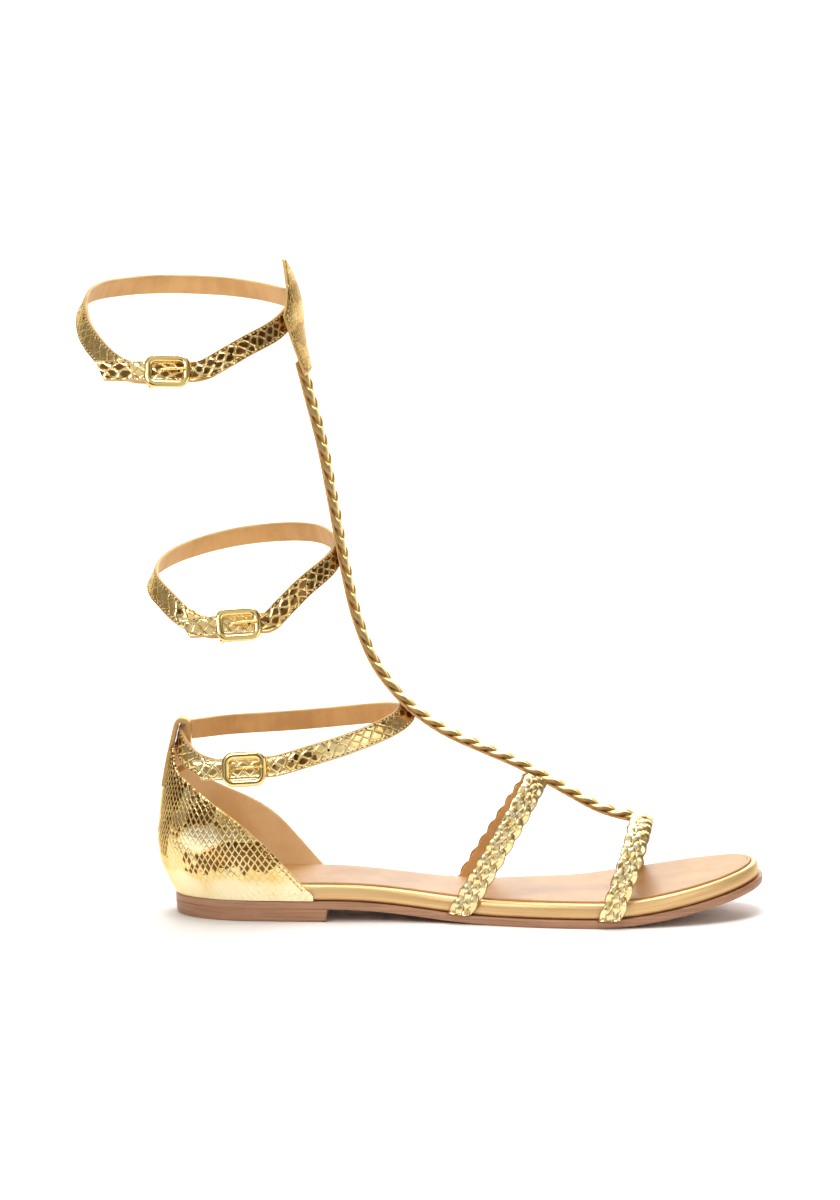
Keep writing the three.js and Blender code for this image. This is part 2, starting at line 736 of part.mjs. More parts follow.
// The closed route of a strap round the leg, from its buckle back round the heel side to the front.
function strapRoute(strap) {
  const contact = spineFrame(spineDistance(strap.join));
  const front = contact.point.clone().addScaledVector(contact.out, strap.lift);
  const forward = contact.out.clone().setZ(0).normalize();
  const outer = new THREE.Vector3(forward.y, -forward.x, 0);
  const back = strap.back ? strap.back * SOLE_LENGTH : slotBack();
  const half = (front.x + back) / 2 / forward.x;
  const shift = strap.aside * SOLE_LENGTH - front.y + 2 * half * forward.y;
  const drop = curveOf(strap.droop, "turn", "drop");
  const stations = 72;
  const points = Array.from({ length: stations }, (_, i) => {
    const turn = (strap.buckle + i / stations) % 1;
    const angle = 2 * Math.PI * turn;
    const behind = 1 - Math.cos(angle);
    const point = front.clone().addScaledVector(forward, -half * behind);
    point.addScaledVector(outer, strap.side * SOLE_LENGTH * Math.sin(angle));
    point.y += (shift * behind) / 2;
    point.z -= drop(turn) * 2 * half;
    return point;
  });
  // The buckle lies straight.
  const reach = Math.ceil((BUCKLE_LENGTH * stations) / (2 * Math.PI * half));
  const [first, last] = [points[stations - reach], points[1]];
  for (let i = 1; i <= reach; i++) {
    points[(stations - reach + i) % stations].lerpVectors(first, last, i / (reach + 1));
  }
  const curve = new THREE.CatmullRomCurve3(points, true, "centripetal");
  curve.arcLengthDivisions = 600;
  const length = curve.getLength();
  const frontLean = THREE.MathUtils.radToDeg(Math.asin(contact.out.z));
  return { curve, length, strap, frontLean, middle: front.x - half, half };
}

// Directions at a distance behind the buckle's hinge bar; negative distances lie in front of it.
function strapFrame(route, distance) {
  const share = (((distance / route.length) % 1) + 1) % 1;
  const point = route.curve.getPointAt(share);
  const run = route.curve.getTangentAt(share);
  const flat = new THREE.Vector3().crossVectors(UP, run).normalize();
  const rise = new THREE.Vector3().crossVectors(run, flat);
  const nearFront = clamp01((point.x - route.middle) / route.half) ** 6;
  const lean = radians(mix(route.strap.lean, route.frontLean, nearFront));
  const out = flat.clone().multiplyScalar(Math.cos(lean)).addScaledVector(rise, Math.sin(lean));
  const across = new THREE.Vector3().crossVectors(run, out);
  return { point, run, out, across };
}

const WRAP_RADIUS = HINGE_WIRE / 2 + SEAM + STRAP_WALL / 2;
const BILLET_RISE = STRAP_WALL + SEAM * 1.5;
const TOE_BAR_RISE = STRAP_WALL / 2 + 2 * SEAM + BUCKLE_WIRE / 2;
const KEEPER_RISE = BILLET_RISE + STRAP_WALL / 2 + 1.5 * SEAM + BUCKLE_WIRE / 2;

// A point beside the strap: ahead of the hinge bar, and outwards from the strap's middle.
function besideStrap(route, ahead, outwards) {
  const { point, out } = strapFrame(route, -ahead);
  return point.clone().addScaledVector(out, outwards);
}

// How far the free end lies outside the loop, from the toe bar back over the hinge bar.
function billetRise(ahead) {
  const t = clamp01(1 - ahead / BUCKLE_LENGTH);
  return BILLET_RISE * t * t * (3 - 2 * t);
}

// The strap's middle line as a list of places with directions, from the folded end to the tail.
function strapSections(route) {
  const { strap, length } = route;
  const sections = [];
  const add = (frame, point, out) => {
    const normal = out.clone().normalize();
    sections.push({ point, out: normal, across: frame.across });
  };
  const bar = strapFrame(route, 0);
  const centre = bar.point.clone().addScaledVector(bar.out, -WRAP_RADIUS);
  const folds = [
    { back: FOLD_LENGTH, depth: STRAP_WALL + SEAM },
    { back: FOLD_LENGTH * 0.6, depth: STRAP_WALL + SEAM },
    { back: FOLD_LENGTH * 0.3, depth: WRAP_RADIUS * 1.7 },
  ];
  for (const { back, depth } of folds) {
    const frame = strapFrame(route, back);
    add(frame, frame.point.clone().addScaledVector(frame.out, -depth), frame.out.clone().negate());
  }
  for (let i = 0; i <= 6; i++) {
    const angle = Math.PI * (i / 6 - 0.5);
    const outwards = bar.out.clone().multiplyScalar(Math.sin(angle));
    outwards.addScaledVector(bar.run, -Math.cos(angle));
    add(bar, centre.clone().addScaledVector(outwards, WRAP_RADIUS), outwards);
  }
  const steps = 44;
  const start = FOLD_LENGTH * 0.4;
  const end = length - BUCKLE_LENGTH - 2;
  for (let i = 0; i <= steps; i++) {
    const frame = strapFrame(route, mix(start, end, i / steps));
    add(frame, frame.point.clone(), frame.out);
  }
  for (let i = 1; i <= 6; i++) {
    const ahead = mix(BUCKLE_LENGTH + 2, 0, i / 6);
    const frame = strapFrame(route, -ahead);
    add(frame, besideStrap(route, ahead, billetRise(ahead)), frame.out);
  }
  const last = sections.at(-1);
  const flare = bar.run.clone().addScaledVector(bar.out, TAIL_FLARE).normalize();
  for (let i = 1; i <= 3; i++) {
    const point = last.point.clone().addScaledVector(flare, (strap.tail * STRAP_WIDTH * i) / 3);
    sections.push({ point, out: last.out, across: last.across, slant: i === 3 ? TAIL_SLANT : 0, flare });
  }
  return sections;
}

// A hole through the strap, stretched along it.
function strapHole(point, { run, out }, radius, stretch) {
  const hole = new THREE.CylinderGeometry(radius, radius, STRAP_WALL * 3, 8);
  const beside = new THREE.Vector3().crossVectors(run, out);
  hole.scale(stretch, 1, 1);
  hole.applyMatrix4(new THREE.Matrix4().makeBasis(run, out, beside).setPosition(point));
  return toSolid(hole);
}

function buckledStrap(route) {
  const rings = strapSections(route).map(({ point, out, across, slant = 0, flare }) =>
    [
      [-1, -1],
      [-1, 1],
      [1, 1],
      [1, -1],
    ].map(([o, a]) => {
      const corner = point
        .clone()
        .addScaledVector(across, (a * STRAP_WIDTH) / 2)
        .addScaledVector(out, (o * STRAP_WALL) / 2);
      return slant ? corner.addScaledVector(flare, (a * slant * STRAP_WIDTH) / 2) : corner;
    }),
  );
  let solid = toSolid(loft(rings, fanCap));
  solid = solid.subtract(prongSlot(route));
  for (let i = 0; i <= HOLES_IN_FRONT; i++) {
    const ahead = PRONG_HOLE_AHEAD + i * HOLE_SPACING;
    const stretch = i === 0 ? PRONG_HOLE_STRETCH : 1;
    const point = besideStrap(route, ahead, billetRise(ahead));
    solid = solid.subtract(strapHole(point, strapFrame(route, -ahead), HOLE_RADIUS, stretch));
  }
  return toGeometry(solid);
}

// Buckles

// Directions of a buckle, from a bar at its heel end to the toe bar over the strap. The hinge bar lies in the
// strap's fold and the keeper bar over the free end.
function buckleFrame(route, rise) {
  const { out, across } = strapFrame(route, 0);
  const heel = besideStrap(route, 0, rise);
  const toe = besideStrap(route, BUCKLE_LENGTH - BUCKLE_WIRE, TOE_BAR_RISE);
  const along = new THREE.Vector3().subVectors(toe, heel);
  const length = along.length();
  along.normalize();
  const side = across.clone().addScaledVector(along, -across.dot(along)).normalize();
  const face = new THREE.Vector3().crossVectors(side, along);
  if (face.dot(out) < 0) face.negate();
  return { heel, along, side, face, length };
}

// A tube along points, with its section's directions worked out from a fixed normal.
function wire(points, normal, diameter, sides, closed) {
  const count = points.length;
  const rings = points.map((p, i) => {
    const ahead = closed ? points[(i + 1) % count] : points[Math.min(i + 1, count - 1)];
    const behind = closed ? points[(i + count - 1) % count] : points[Math.max(i - 1, 0)];
    const run = new THREE.Vector3().subVectors(ahead, behind).normalize();
    const beside = new THREE.Vector3().crossVectors(run, normal).normalize();
    return Array.from({ length: sides }, (_, k) => {
      const angle = (2 * Math.PI * (k + 0.5)) / sides;
      return p
        .clone()
        .addScaledVector(beside, (Math.cos(angle) * diameter) / 2)
        .addScaledVector(normal, (Math.sin(angle) * diameter) / 2);
    });
  });
  return loft(rings, closed ? null : fanCap);
}

// The rounded frame that lies in front of the strap.
function buckleRing(route, half) {
  const { heel, along, side, face, length } = buckleFrame(route, KEEPER_RISE);
  const corners = [
    { end: length, edge: 1, from: 0 },
    { end: 0, edge: 1, from: 90 },
    { end: 0, edge: -1, from: 180 },
    { end: length, edge: -1, from: 270 },
  ];
  const points = corners.flatMap(({ end, edge, from }) =>
    [0, 30, 60, 90].map((turn) => {
      const angle = radians(from + turn);
      const ahead = end + BUCKLE_CORNER * (Math.cos(angle) - (end > 0 ? 1 : -1));
      const across = edge * (half - BUCKLE_CORNER) + BUCKLE_CORNER * Math.sin(angle);
      return heel.clone().addScaledVector(along, ahead).addScaledVector(side, across);
    }),
  );
  return wire(points, face, BUCKLE_WIRE, 8, true);
}

// The bar in the strap's fold, with an arm at each end that reaches up to the frame's sides.
function hingeBar(route, half) {
  const { heel, along, side } = buckleFrame(route, KEEPER_RISE);
  const bar = besideStrap(route, 0, -WRAP_RADIUS);
  const arm = heel.clone().addScaledVector(along, HINGE_ARM_AHEAD).sub(bar);
  const reach = arm.length();
  arm.normalize();
  const at = (aside, up) => bar.clone().addScaledVector(side, aside).addScaledVector(arm, up);
  const corner = (edge, turns) =>
    turns.map(radians).map((angle) => {
      const aside = half - HINGE_CORNER + HINGE_CORNER * Math.cos(angle);
      return at(edge * aside, HINGE_CORNER * (1 - Math.sin(angle)));
    });
  const points = [at(half, reach), ...corner(1, [0, 45, 90]), ...corner(-1, [90, 45, 0]), at(-half, reach)];
  return wire(points, new THREE.Vector3().crossVectors(arm, side), HINGE_WIRE, 8, false);
}

function buckle(route) {
  const half = STRAP_WIDTH / 2 + SEAM * 1.5 + BUCKLE_WIRE / 2;
  const ring = toSolid(buckleRing(route, half));
  return toGeometry(ring.add(toSolid(hingeBar(route, half))));
}

// The prong hooks round the hinge bar, comes up through the strap's hole and rests on the toe bar.
function prong(route) {
  const { heel, along, side, face, length } = buckleFrame(route, -WRAP_RADIUS);
  const at = (ahead, up) => heel.clone().addScaledVector(along, ahead).addScaledVector(face, up);
  const clear = (HINGE_WIRE + PRONG_WIRE) / 2 + SEAM;
  const rest = (BUCKLE_WIRE + PRONG_WIRE) / 2 + SEAM;
  const points = [
    ...PRONG_HOOK_TURNS.map(radians).map((angle) => at(clear * Math.cos(angle), clear * Math.sin(angle))),
    ...PRONG_FORM.map(({ ahead, up }) => at(ahead, up)),
    at(length - 1.2 * BUCKLE_WIRE, rest + SEAM),
    at(length + 0.45 * BUCKLE_WIRE, rest),
  ];
  return wire(points, side, PRONG_WIRE, 6, false);
}

// Room in the strap's fold for the prong's hook.
function prongSlot(route) {
  const { heel, along, side, face } = buckleFrame(route, -WRAP_RADIUS);
  const width = PRONG_WIRE + 3 * SEAM;
  const behind = HINGE_WIRE / 2 + PRONG_WIRE + 2 * SEAM;
  const ahead = WRAP_RADIUS + STRAP_WALL;
  const above = WRAP_RADIUS + STRAP_WALL / 2 + SEAM / 2;
  const below = WRAP_RADIUS + STRAP_WALL;
  const box = new THREE.BoxGeometry(ahead + behind, width, above + below);
  box.translate((ahead - behind) / 2, 0, (above - below) / 2);
  box.applyMatrix4(new THREE.Matrix4().makeBasis(along, side, face).setPosition(heel));
  return toSolid(box);
}

const sandal = new THREE.Group();
sandal.add(
  named("heel_lift", "outsole", heelLift()),
  named("outsole", "outsole", outsole()),
  named("footbed", "footbed", footbed()),
  named("insole", "insole", insole()),
  named("heel_counter", "snake", heelCounter()),
  named("braided_upper", "braid", braidedUpper()),
  named("diamond_patch", "snake", diamondPatch()),
);
for (const strap of STRAPS) {
  const route = strapRoute(strap);
  sandal.add(
    named(`${strap.name}_strap`, "snake", buckledStrap(route)),
    named(`${strap.name}_buckle`, "metal", buckle(route)),
    named(`${strap.name}_prong`, "metal", prong(route)),
  );
}

export default sandal;
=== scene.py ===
"""Looks of a flat gladiator sandal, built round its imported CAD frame.

Lengths are in millimetres until a mesh is made: +X to the toe, +Y to the inner side of the foot, +Z up.
"""

import math

import bmesh
import bpy
import numpy as np
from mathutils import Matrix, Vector


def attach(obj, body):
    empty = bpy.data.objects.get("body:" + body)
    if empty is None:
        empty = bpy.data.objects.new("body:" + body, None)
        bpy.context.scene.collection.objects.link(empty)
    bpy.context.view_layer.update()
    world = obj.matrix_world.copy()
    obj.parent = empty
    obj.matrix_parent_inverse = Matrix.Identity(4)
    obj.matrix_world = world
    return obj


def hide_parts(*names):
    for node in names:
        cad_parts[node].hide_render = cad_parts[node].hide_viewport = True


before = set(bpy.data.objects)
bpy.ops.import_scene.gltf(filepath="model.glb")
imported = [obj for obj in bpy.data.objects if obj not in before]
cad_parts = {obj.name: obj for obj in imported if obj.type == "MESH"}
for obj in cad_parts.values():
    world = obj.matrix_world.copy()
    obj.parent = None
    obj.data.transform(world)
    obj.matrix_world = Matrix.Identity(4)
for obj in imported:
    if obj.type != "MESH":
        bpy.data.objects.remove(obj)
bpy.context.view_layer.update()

MM = 0.001
UP = np.array([0.0, 0.0, 1.0])

# Sizes that the part's source names too.
SEAM = 0.3
SOLE_LENGTH = 253
BALL_WIDTH = 84
LIFT_LENGTH = 67
LIFT_HEIGHT = 5
OUTSOLE_THICKNESS = 3.4
FOOTBED_THICKNESS = 6.5
FOOTBED_INSET = 2
RECESS_DEPTH = 0.7
RECESS_INSET = 5
INSOLE_THICKNESS = 1.2
TOE_SPRING = 12.7
TOE_SKEW = 0.22
HEEL_BACK = -LIFT_LENGTH / 2
LIFT_FRONT = LIFT_LENGTH / 2
COUNTER_WALL = 1.5
COUNTER_HEIGHT = 63
COUNTER_REACH = {-1: 61, 1: 66}
TAB_WIDTH = 9
TAB_WALL = 1.9
TAB_SLOT_PLAY = 2
TAB_TOP = 1.13
TAB_FOOT = 0.8
SHAFT_HEIGHT = 281
SPINE_WIDTH = 13
ARCH_WIDTH = 10
ARCH_POWER = 2.35
BRAID_WALL = 2
BRAID_STRIP = 1.1
TOE_STRAP_FEET = (186.5, 195)
INSTEP_STRAP_FEET = (121.5, 120)
INSTEP_STRAP_JOIN = 0.155
DIAMOND_HEIGHT = 49
DIAMOND_WIDTH = 37
DIAMOND_FOOT_WIDTH = 15
DIAMOND_WALL = 1.8
ANKLE_JOIN_ABOVE_COUNTER = 25.5
TOP_JOIN_BELOW_SHAFT = 21
STRAP_WIDTH = 9
STRAP_WALL = 1.7
TAIL_SLANT = 0.45
HOLE_SPACING = 8
HOLES_IN_FRONT = 5
PRONG_HOLE_AHEAD = 4.5
PRONG_HOLE_STRETCH = 2
FOLD_LENGTH = 8
TAIL_FLARE = 0.08
BUCKLE_LENGTH = 18
BUCKLE_WIRE = 2
HINGE_WIRE = 1.6
HINGE_CORNER = 1
HINGE_ARM_AHEAD = 3
PRONG_WIRE = 1.3
PRONG_FORM = [(2.7, 1), (4.1, 2.7), (5.6, 3.9), (8, 3.9)]
PRONG_HOOK_TURNS = [160, 205, 250, 295, 340]
TAB_SPAN = TAB_WALL + STRAP_WALL + TAB_SLOT_PLAY

# Looks that differ from the solids: smaller holes, and flatter, rounder buckle frames that hang lower.
HOLE_RADIUS = 0.62
FRAME_BREADTH = 3.2
FRAME_FLATNESS = 0.55
FRAME_CORNER = 3.5
FRAME_DROP = 0.7

# Points closer than this are joined in a mesh.
WELD = 0.002 * MM

# Along the sole, its centre and half width as shares of the ball width.
SOLE_FORM = [
    (0, 0, 0.335), (0.13, 0, 0.345), (0.25, -0.004, 0.349), (0.38, -0.022, 0.318),
    (0.5, -0.04, 0.355), (0.62, -0.034, 0.445), (0.72, -0.012, 0.492), (0.82, 0.018, 0.495),
    (1, 0.085, 0.475),
]
HEEL_ROUND = (0.15, 2.15)
TOE_ROUND = (0.27, 2.2)
FOREFOOT_START, FOREFOOT_END, FOREFOOT_CURL = 0.56, 0.69, 1.5

# Turn from the back to the front corner, and the collar's rise on the outer and the inner side.
COLLAR_FORM = [
    (0, 1, 1), (0.13, 0.985, 0.985), (0.26, 0.84, 0.85), (0.4, 0.75, 0.75), (0.55, 0.64, 0.65),
    (0.68, 0.525, 0.56), (0.785, 0.395, 0.445), (0.87, 0.255, 0.285), (0.94, 0.125, 0.14),
    (1, 0.03, 0.03),
]
# Rise, how far the back stands out, and how wide the heel is against the sole.
HEEL_FORM = [
    (0, 0, 0.996), (0.1, 0.055, 1.015), (0.2, 0.1, 1.045), (0.37, 0.126, 1.04), (0.55, 0.113, 0.98),
    (0.75, 0.088, 0.85), (0.92, 0.057, 0.74), (1.02, 0.034, 0.7), (1.18, -0.004, 0.68),
]
# Forward and aside as shares of the sole's length, rise as a share of the shaft's height, twist in degrees.
SPINE_FORM = [
    (0.66, 0.1425, 0.0079, 0), (0.593, 0.1585, 0.0079, 0), (0.532, 0.187, 0.0079, 0),
    (0.461, 0.223, 0.0079, 0), (0.393, 0.25, 0.0079, 0), (0.329, 0.276, 0.0079, 0),
    (0.277, 0.307, 0.0079, 0), (0.239, 0.341, 0.0079, 0), (0.204, 0.386, 0.0071, 1),
    (0.175, 0.4535, 0.0059, 3), (0.155, 0.532, 0.004, 4), (0.134, 0.637, 0.0012, 5),
    (0.1175, 0.7185, -0.002, 6), (0.095, 0.799, -0.0059, 6), (0.0755, 0.873, -0.0099, 7),
    (0.0655, 0.943, -0.013, 8), (0.0455, 1, -0.0158, 8),
]
UNDER_BRAID = -BRAID_WALL / 2 - SEAM * 0.9 - STRAP_WALL / 2
UNDER_PATCH = BRAID_WALL / 2 + BRAID_STRIP * 0.6 - STRAP_WALL / 2 - SEAM
PATCH_LIFT = BRAID_WALL / 2 + BRAID_STRIP * 0.6 + SEAM

# The three buckled straps; droop holds turn and drop. share and dark are the brown scales: dark holds places
# along the loop from the buckle back, half lengths in mm and weights; these zones are partly the print's
# brown patches and partly painted reflection of dark surroundings.
STRAPS = [
    {
        "name": "ankle",
        "join": COUNTER_HEIGHT + ANKLE_JOIN_ABOVE_COUNTER,
        "back": None,
        "side": 0.1186 * SOLE_LENGTH,
        "aside": 0,
        "lift": UNDER_BRAID,
        "buckle": 0.34,
        "lean": 13,
        "tail": 1.444 * STRAP_WIDTH,
        "share": 0.05,
        "dark": [(0.14, 9, 0.6), (0.865, 5, 0.4), (0.6, 30, 0.2)],
        "droop": [
            (0, 0), (0.1, 0.06), (0.2, 0.14), (0.28, 0.21), (0.34, 0.23), (0.4, 0.21), (0.5, 0.113),
            (0.62, 0.1), (0.75, 0.085), (0.9, 0.03), (1, 0),
        ],
    },
    {
        "name": "middle",
        "join": SHAFT_HEIGHT * 0.5516,
        "back": 0.1684 * SOLE_LENGTH,
        "side": 0.1462 * SOLE_LENGTH,
        "aside": 0.0158 * SOLE_LENGTH,
        "lift": UNDER_BRAID,
        "buckle": 0.272,
        "lean": 26,
        "tail": 1.667 * STRAP_WIDTH,
        "share": 0.3,
        "dark": [(0.82, 28, 0.65), (0.3, 20, 0.3), (0.55, 25, 0.25)],
        "droop": [
            (0, 0), (0.07, 0.07), (0.12, 0.145), (0.16, 0.245), (0.19, 0.325), (0.24, 0.352),
            (0.28, 0.358), (0.34, 0.305), (0.4, 0.21), (0.5, 0.115), (0.62, 0.02), (0.75, -0.057),
            (0.88, -0.075), (1, 0),
        ],
    },
    {
        "name": "top",
        "join": SHAFT_HEIGHT - TOP_JOIN_BELOW_SHAFT,
        "back": 0.2826 * SOLE_LENGTH,
        "side": 0.2055 * SOLE_LENGTH,
        "aside": 0.0316 * SOLE_LENGTH,
        "lift": UNDER_PATCH,
        "buckle": 0.27,
        "lean": 28,
        "tail": 2.3 * STRAP_WIDTH,
        "share": 0.34,
        "dark": [(0.83, 48, 0.7), (0.235, 10, 0.5), (1.045, 6, 0.5), (0.5, 40, 0.25)],
        "droop": [
            (0, 0), (0.06, 0.08), (0.12, 0.145), (0.16, 0.205), (0.19, 0.25), (0.24, 0.272),
            (0.28, 0.27), (0.33, 0.235), (0.4, 0.12), (0.5, -0.035), (0.62, -0.075), (0.75, -0.068),
            (0.88, -0.033), (1, 0),
        ],
    },
]


# Small mathematics


def mix(a, b, t):
    return a + (b - a) * t


def unit(v):
    v = np.asarray(v, float)
    return v / np.linalg.norm(v, axis=-1, keepdims=True)


def distances(points):
    """The distance of each point from the first, along the row of points."""
    return np.r_[0, np.cumsum(np.linalg.norm(np.diff(points, axis=0), axis=1))]


def one(frames):
    """The point and directions of frames that were read at one distance."""
    return [values[0] for values in frames]


def curve_of(rows):
    """A smooth curve through rows of x and y, level outside them."""
    xs, ys = (np.array(column, float) for column in zip(*rows))
    last = len(xs) - 1
    before = np.maximum(np.arange(last + 1) - 1, 0)
    after = np.minimum(np.arange(last + 1) + 1, last)
    slopes = (ys[after] - ys[before]) / (xs[after] - xs[before])

    def at(x):
        x = np.clip(np.asarray(x, float), xs[0], xs[-1])
        i = np.clip(np.searchsorted(xs, x, side="right") - 1, 0, last - 1)
        step = xs[i + 1] - xs[i]
        t = (x - xs[i]) / step
        start = (1 + 2 * t) * (1 - t) ** 2 * ys[i] + t * (1 - t) ** 2 * step * slopes[i]
        end = t**2 * (3 - 2 * t) * ys[i + 1] + t**2 * (t - 1) * step * slopes[i + 1]
        return start + end

    return at


class Spline:
    """A centripetal Catmull-Rom curve read by the distance along it."""

    DENSITY = 40

    def __init__(self, points, closed=False):
        p = np.array(points, float)
        if closed:
            ring = np.vstack([p[-1:], p, p[:2]])
        else:
            ring = np.vstack([2 * p[0] - p[1], p, 2 * p[-1] - p[-2]])
        a, b, c, d = ring[:-3], ring[1:-2], ring[2:-1], ring[3:]
        d0, d1, d2 = (np.sqrt(np.linalg.norm(v - u, axis=1))[:, None] for u, v in ((a, b), (b, c), (c, d)))
        self.b, self.c = b, c
        self.m1 = ((b - a) / d0 - (c - a) / (d0 + d1) + (c - b) / d1) * d1
        self.m2 = ((c - b) / d1 - (d - b) / (d1 + d2) + (d - c) / d2) * d1
        self.closed = closed
        self.knots = np.linspace(0, len(b), len(b) * self.DENSITY + 1)
        dense = self._place(self.knots)[0]
        self.lengths = distances(dense)
        self.length = self.lengths[-1]

    def _place(self, t):
        i = np.minimum(t.astype(int), len(self.b) - 1)
        f = (t - i)[:, None]
        b, c, m1, m2 = self.b[i], self.c[i], self.m1[i], self.m2[i]
        k2 = -3 * b + 3 * c - 2 * m1 - m2
        k3 = 2 * b - 2 * c + m1 + m2
        return b + m1 * f + k2 * f**2 + k3 * f**3, m1 + 2 * k2 * f + 3 * k3 * f**2

    def at(self, distance):
        """Points and directions at distances."""
        s = np.atleast_1d(np.asarray(distance, float))
        s = s % self.length if self.closed else np.clip(s, 0, self.length)
        point, run = self._place(np.interp(s, self.lengths, self.knots))
        return point, unit(run)


# Meshes


class Shape:
    """Gathers lofted surfaces and makes one object of them, with UVs in millimetres."""

    def __init__(self):
        self.points, self.faces, self.corners, self.slots = [], [], [], []
        self.count = 0

    def grid(self, grid, u, v, slot=0):
        """An open sheet: grid is rows by columns of points, u and v the UVs of its rows and columns."""
        grid = np.asarray(grid, float)
        rows, columns = grid.shape[:2]
        u, v = (np.broadcast_to(np.asarray(w, float), (rows, columns)) for w in (np.asarray(u)[:, None], v))
        base = self.count
        self.points.append(grid.reshape(-1, 3))
        self.count += rows * columns
        for k in range(rows - 1):
            for j in range(columns - 1):
                cells = [(k, j), (k, j + 1), (k + 1, j + 1), (k + 1, j)]
                self.faces.append([base + r * columns + c for r, c in cells])
                self.corners.append([(u[r, c], v[r, c]) for r, c in cells])
                self.slots.append(slot)

    def loft(self, rings, slots=0, closed=False, u=None, v=None):
        """A tube through rings with equal numbers of points, closed by a face at each open end."""
        rings = np.asarray(rings, float)
        rows, n = rings.shape[:2]
        if u is None:
            centres = np.vstack([rings.mean(1), rings.mean(1)[:1]])
            u = distances(centres)
        if v is None:
            steps = np.linalg.norm(np.roll(rings, -1, axis=1) - rings, axis=2).mean(0)
            v = np.r_[0, np.cumsum(steps)]
        slots = np.broadcast_to(slots, n)
        base = self.count
        self.points.append(rings.reshape(-1, 3))
        self.count += rows * n
        for k in range(rows if closed else rows - 1):
            m = (k + 1) % rows
            for j in range(n):
                i = (j + 1) % n
                self.faces.append([base + k * n + j, base + k * n + i, base + m * n + i, base + m * n + j])
                self.corners.append([(u[k], v[j]), (u[k], v[j + 1]), (u[k + 1], v[j + 1]), (u[k + 1], v[j])])
                self.slots.append(int(slots[j]))
        if not closed:
            for row, order in ((0, range(n)), (rows - 1, range(n - 1, -1, -1))):
                self.faces.append([base + row * n + j for j in order])
                self.corners.append([(u[row], v[j]) for j in order])
                self.slots.append(int(slots[0]))

    def build(self, name, materials, slot, replaces=(), sharp=None):
        """One smooth object of what was gathered; edges sharper than sharp degrees stay crisp."""
        mesh = bpy.data.meshes.new(name)
        mesh.from_pydata((np.vstack(self.points) * MM).tolist(), [], self.faces)
        layer = mesh.uv_layers.new(name="length")
        flat = np.array([corner for face in self.corners for corner in face], np.float32)
        layer.data.foreach_set("uv", flat.ravel())
        mesh.polygons.foreach_set("material_index", self.slots)
        joined = bmesh.new()
        joined.from_mesh(mesh)
        bmesh.ops.remove_doubles(joined, verts=joined.verts, dist=WELD)
        bmesh.ops.dissolve_degenerate(joined, edges=joined.edges, dist=WELD)
        bmesh.ops.recalc_face_normals(joined, faces=joined.faces)
        joined.to_mesh(mesh)
        joined.free()
        for made in materials:
            mesh.materials.append(made)
        mesh.polygons.foreach_set("use_smooth", [True] * len(mesh.polygons))
        if sharp is not None:
            mesh.set_sharp_from_angle(angle=math.radians(sharp))
        obj = bpy.data.objects.new(name, mesh)
        bpy.context.scene.collection.objects.link(obj)
        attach(obj, "root")
        if replaces:
            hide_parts(*replaces)
        return obj


def section(centres, sides, rises, template):
    """Rings of a flat section, whose template holds side and rise in mm at each centre."""
    t = np.asarray(template, float)
    return centres[:, None] + sides[:, None] * t[None, :, :1] + rises[:, None] * t[None, :, 1:]


def rounded_bar(half, thick, radius, inner, steps=3):
    """A flat bar's section, from its left end over its face to the right end and back.

    Gives its points, and the zone that each is in: 0 the face, 1 the ends, 2 the back.
    """
    angles = np.linspace(0, math.pi / 2, steps + 1)
    arc = [(radius * math.cos(a), radius * math.sin(a)) for a in angles]
    right_up = [(half - radius + x, thick - radius + y) for x, y in arc[::-1]]
    right_down = [(x, -y) for x, y in right_up[::-1]]
    left_down = [(-x, -y) for x, y in right_up]
    left_up = [(-x, y) for x, y in right_up[::-1]]
    face = [(x, thick + dip) for x, dip in inner]
    back = [(x, -thick) for x, _ in reversed(inner)]
    points = left_up + face + right_up + right_down + back + left_down
    runs = ((1, steps), (0, len(face) + 1), (1, 2 * steps + 1), (2, len(back) + 1), (1, steps + 1))
    return points, [zone for zone, count in runs for _ in range(count)]


# Materials


def material(name, roughness=0.5, metallic=0.0, coat=0.0):
    made = bpy.data.materials.new(name)
    made.use_nodes = True
    g = Graph(made.node_tree)
    g.shade("Roughness", roughness)
    g.shade("Metallic", metallic)
    g.shade("Coat Weight", coat)
    g.shade("Coat Roughness", 0.2)
    if metallic > 0.4:
        g.shade("Specular Tint", (1, 0.84, 0.5, 1))
    return made, g


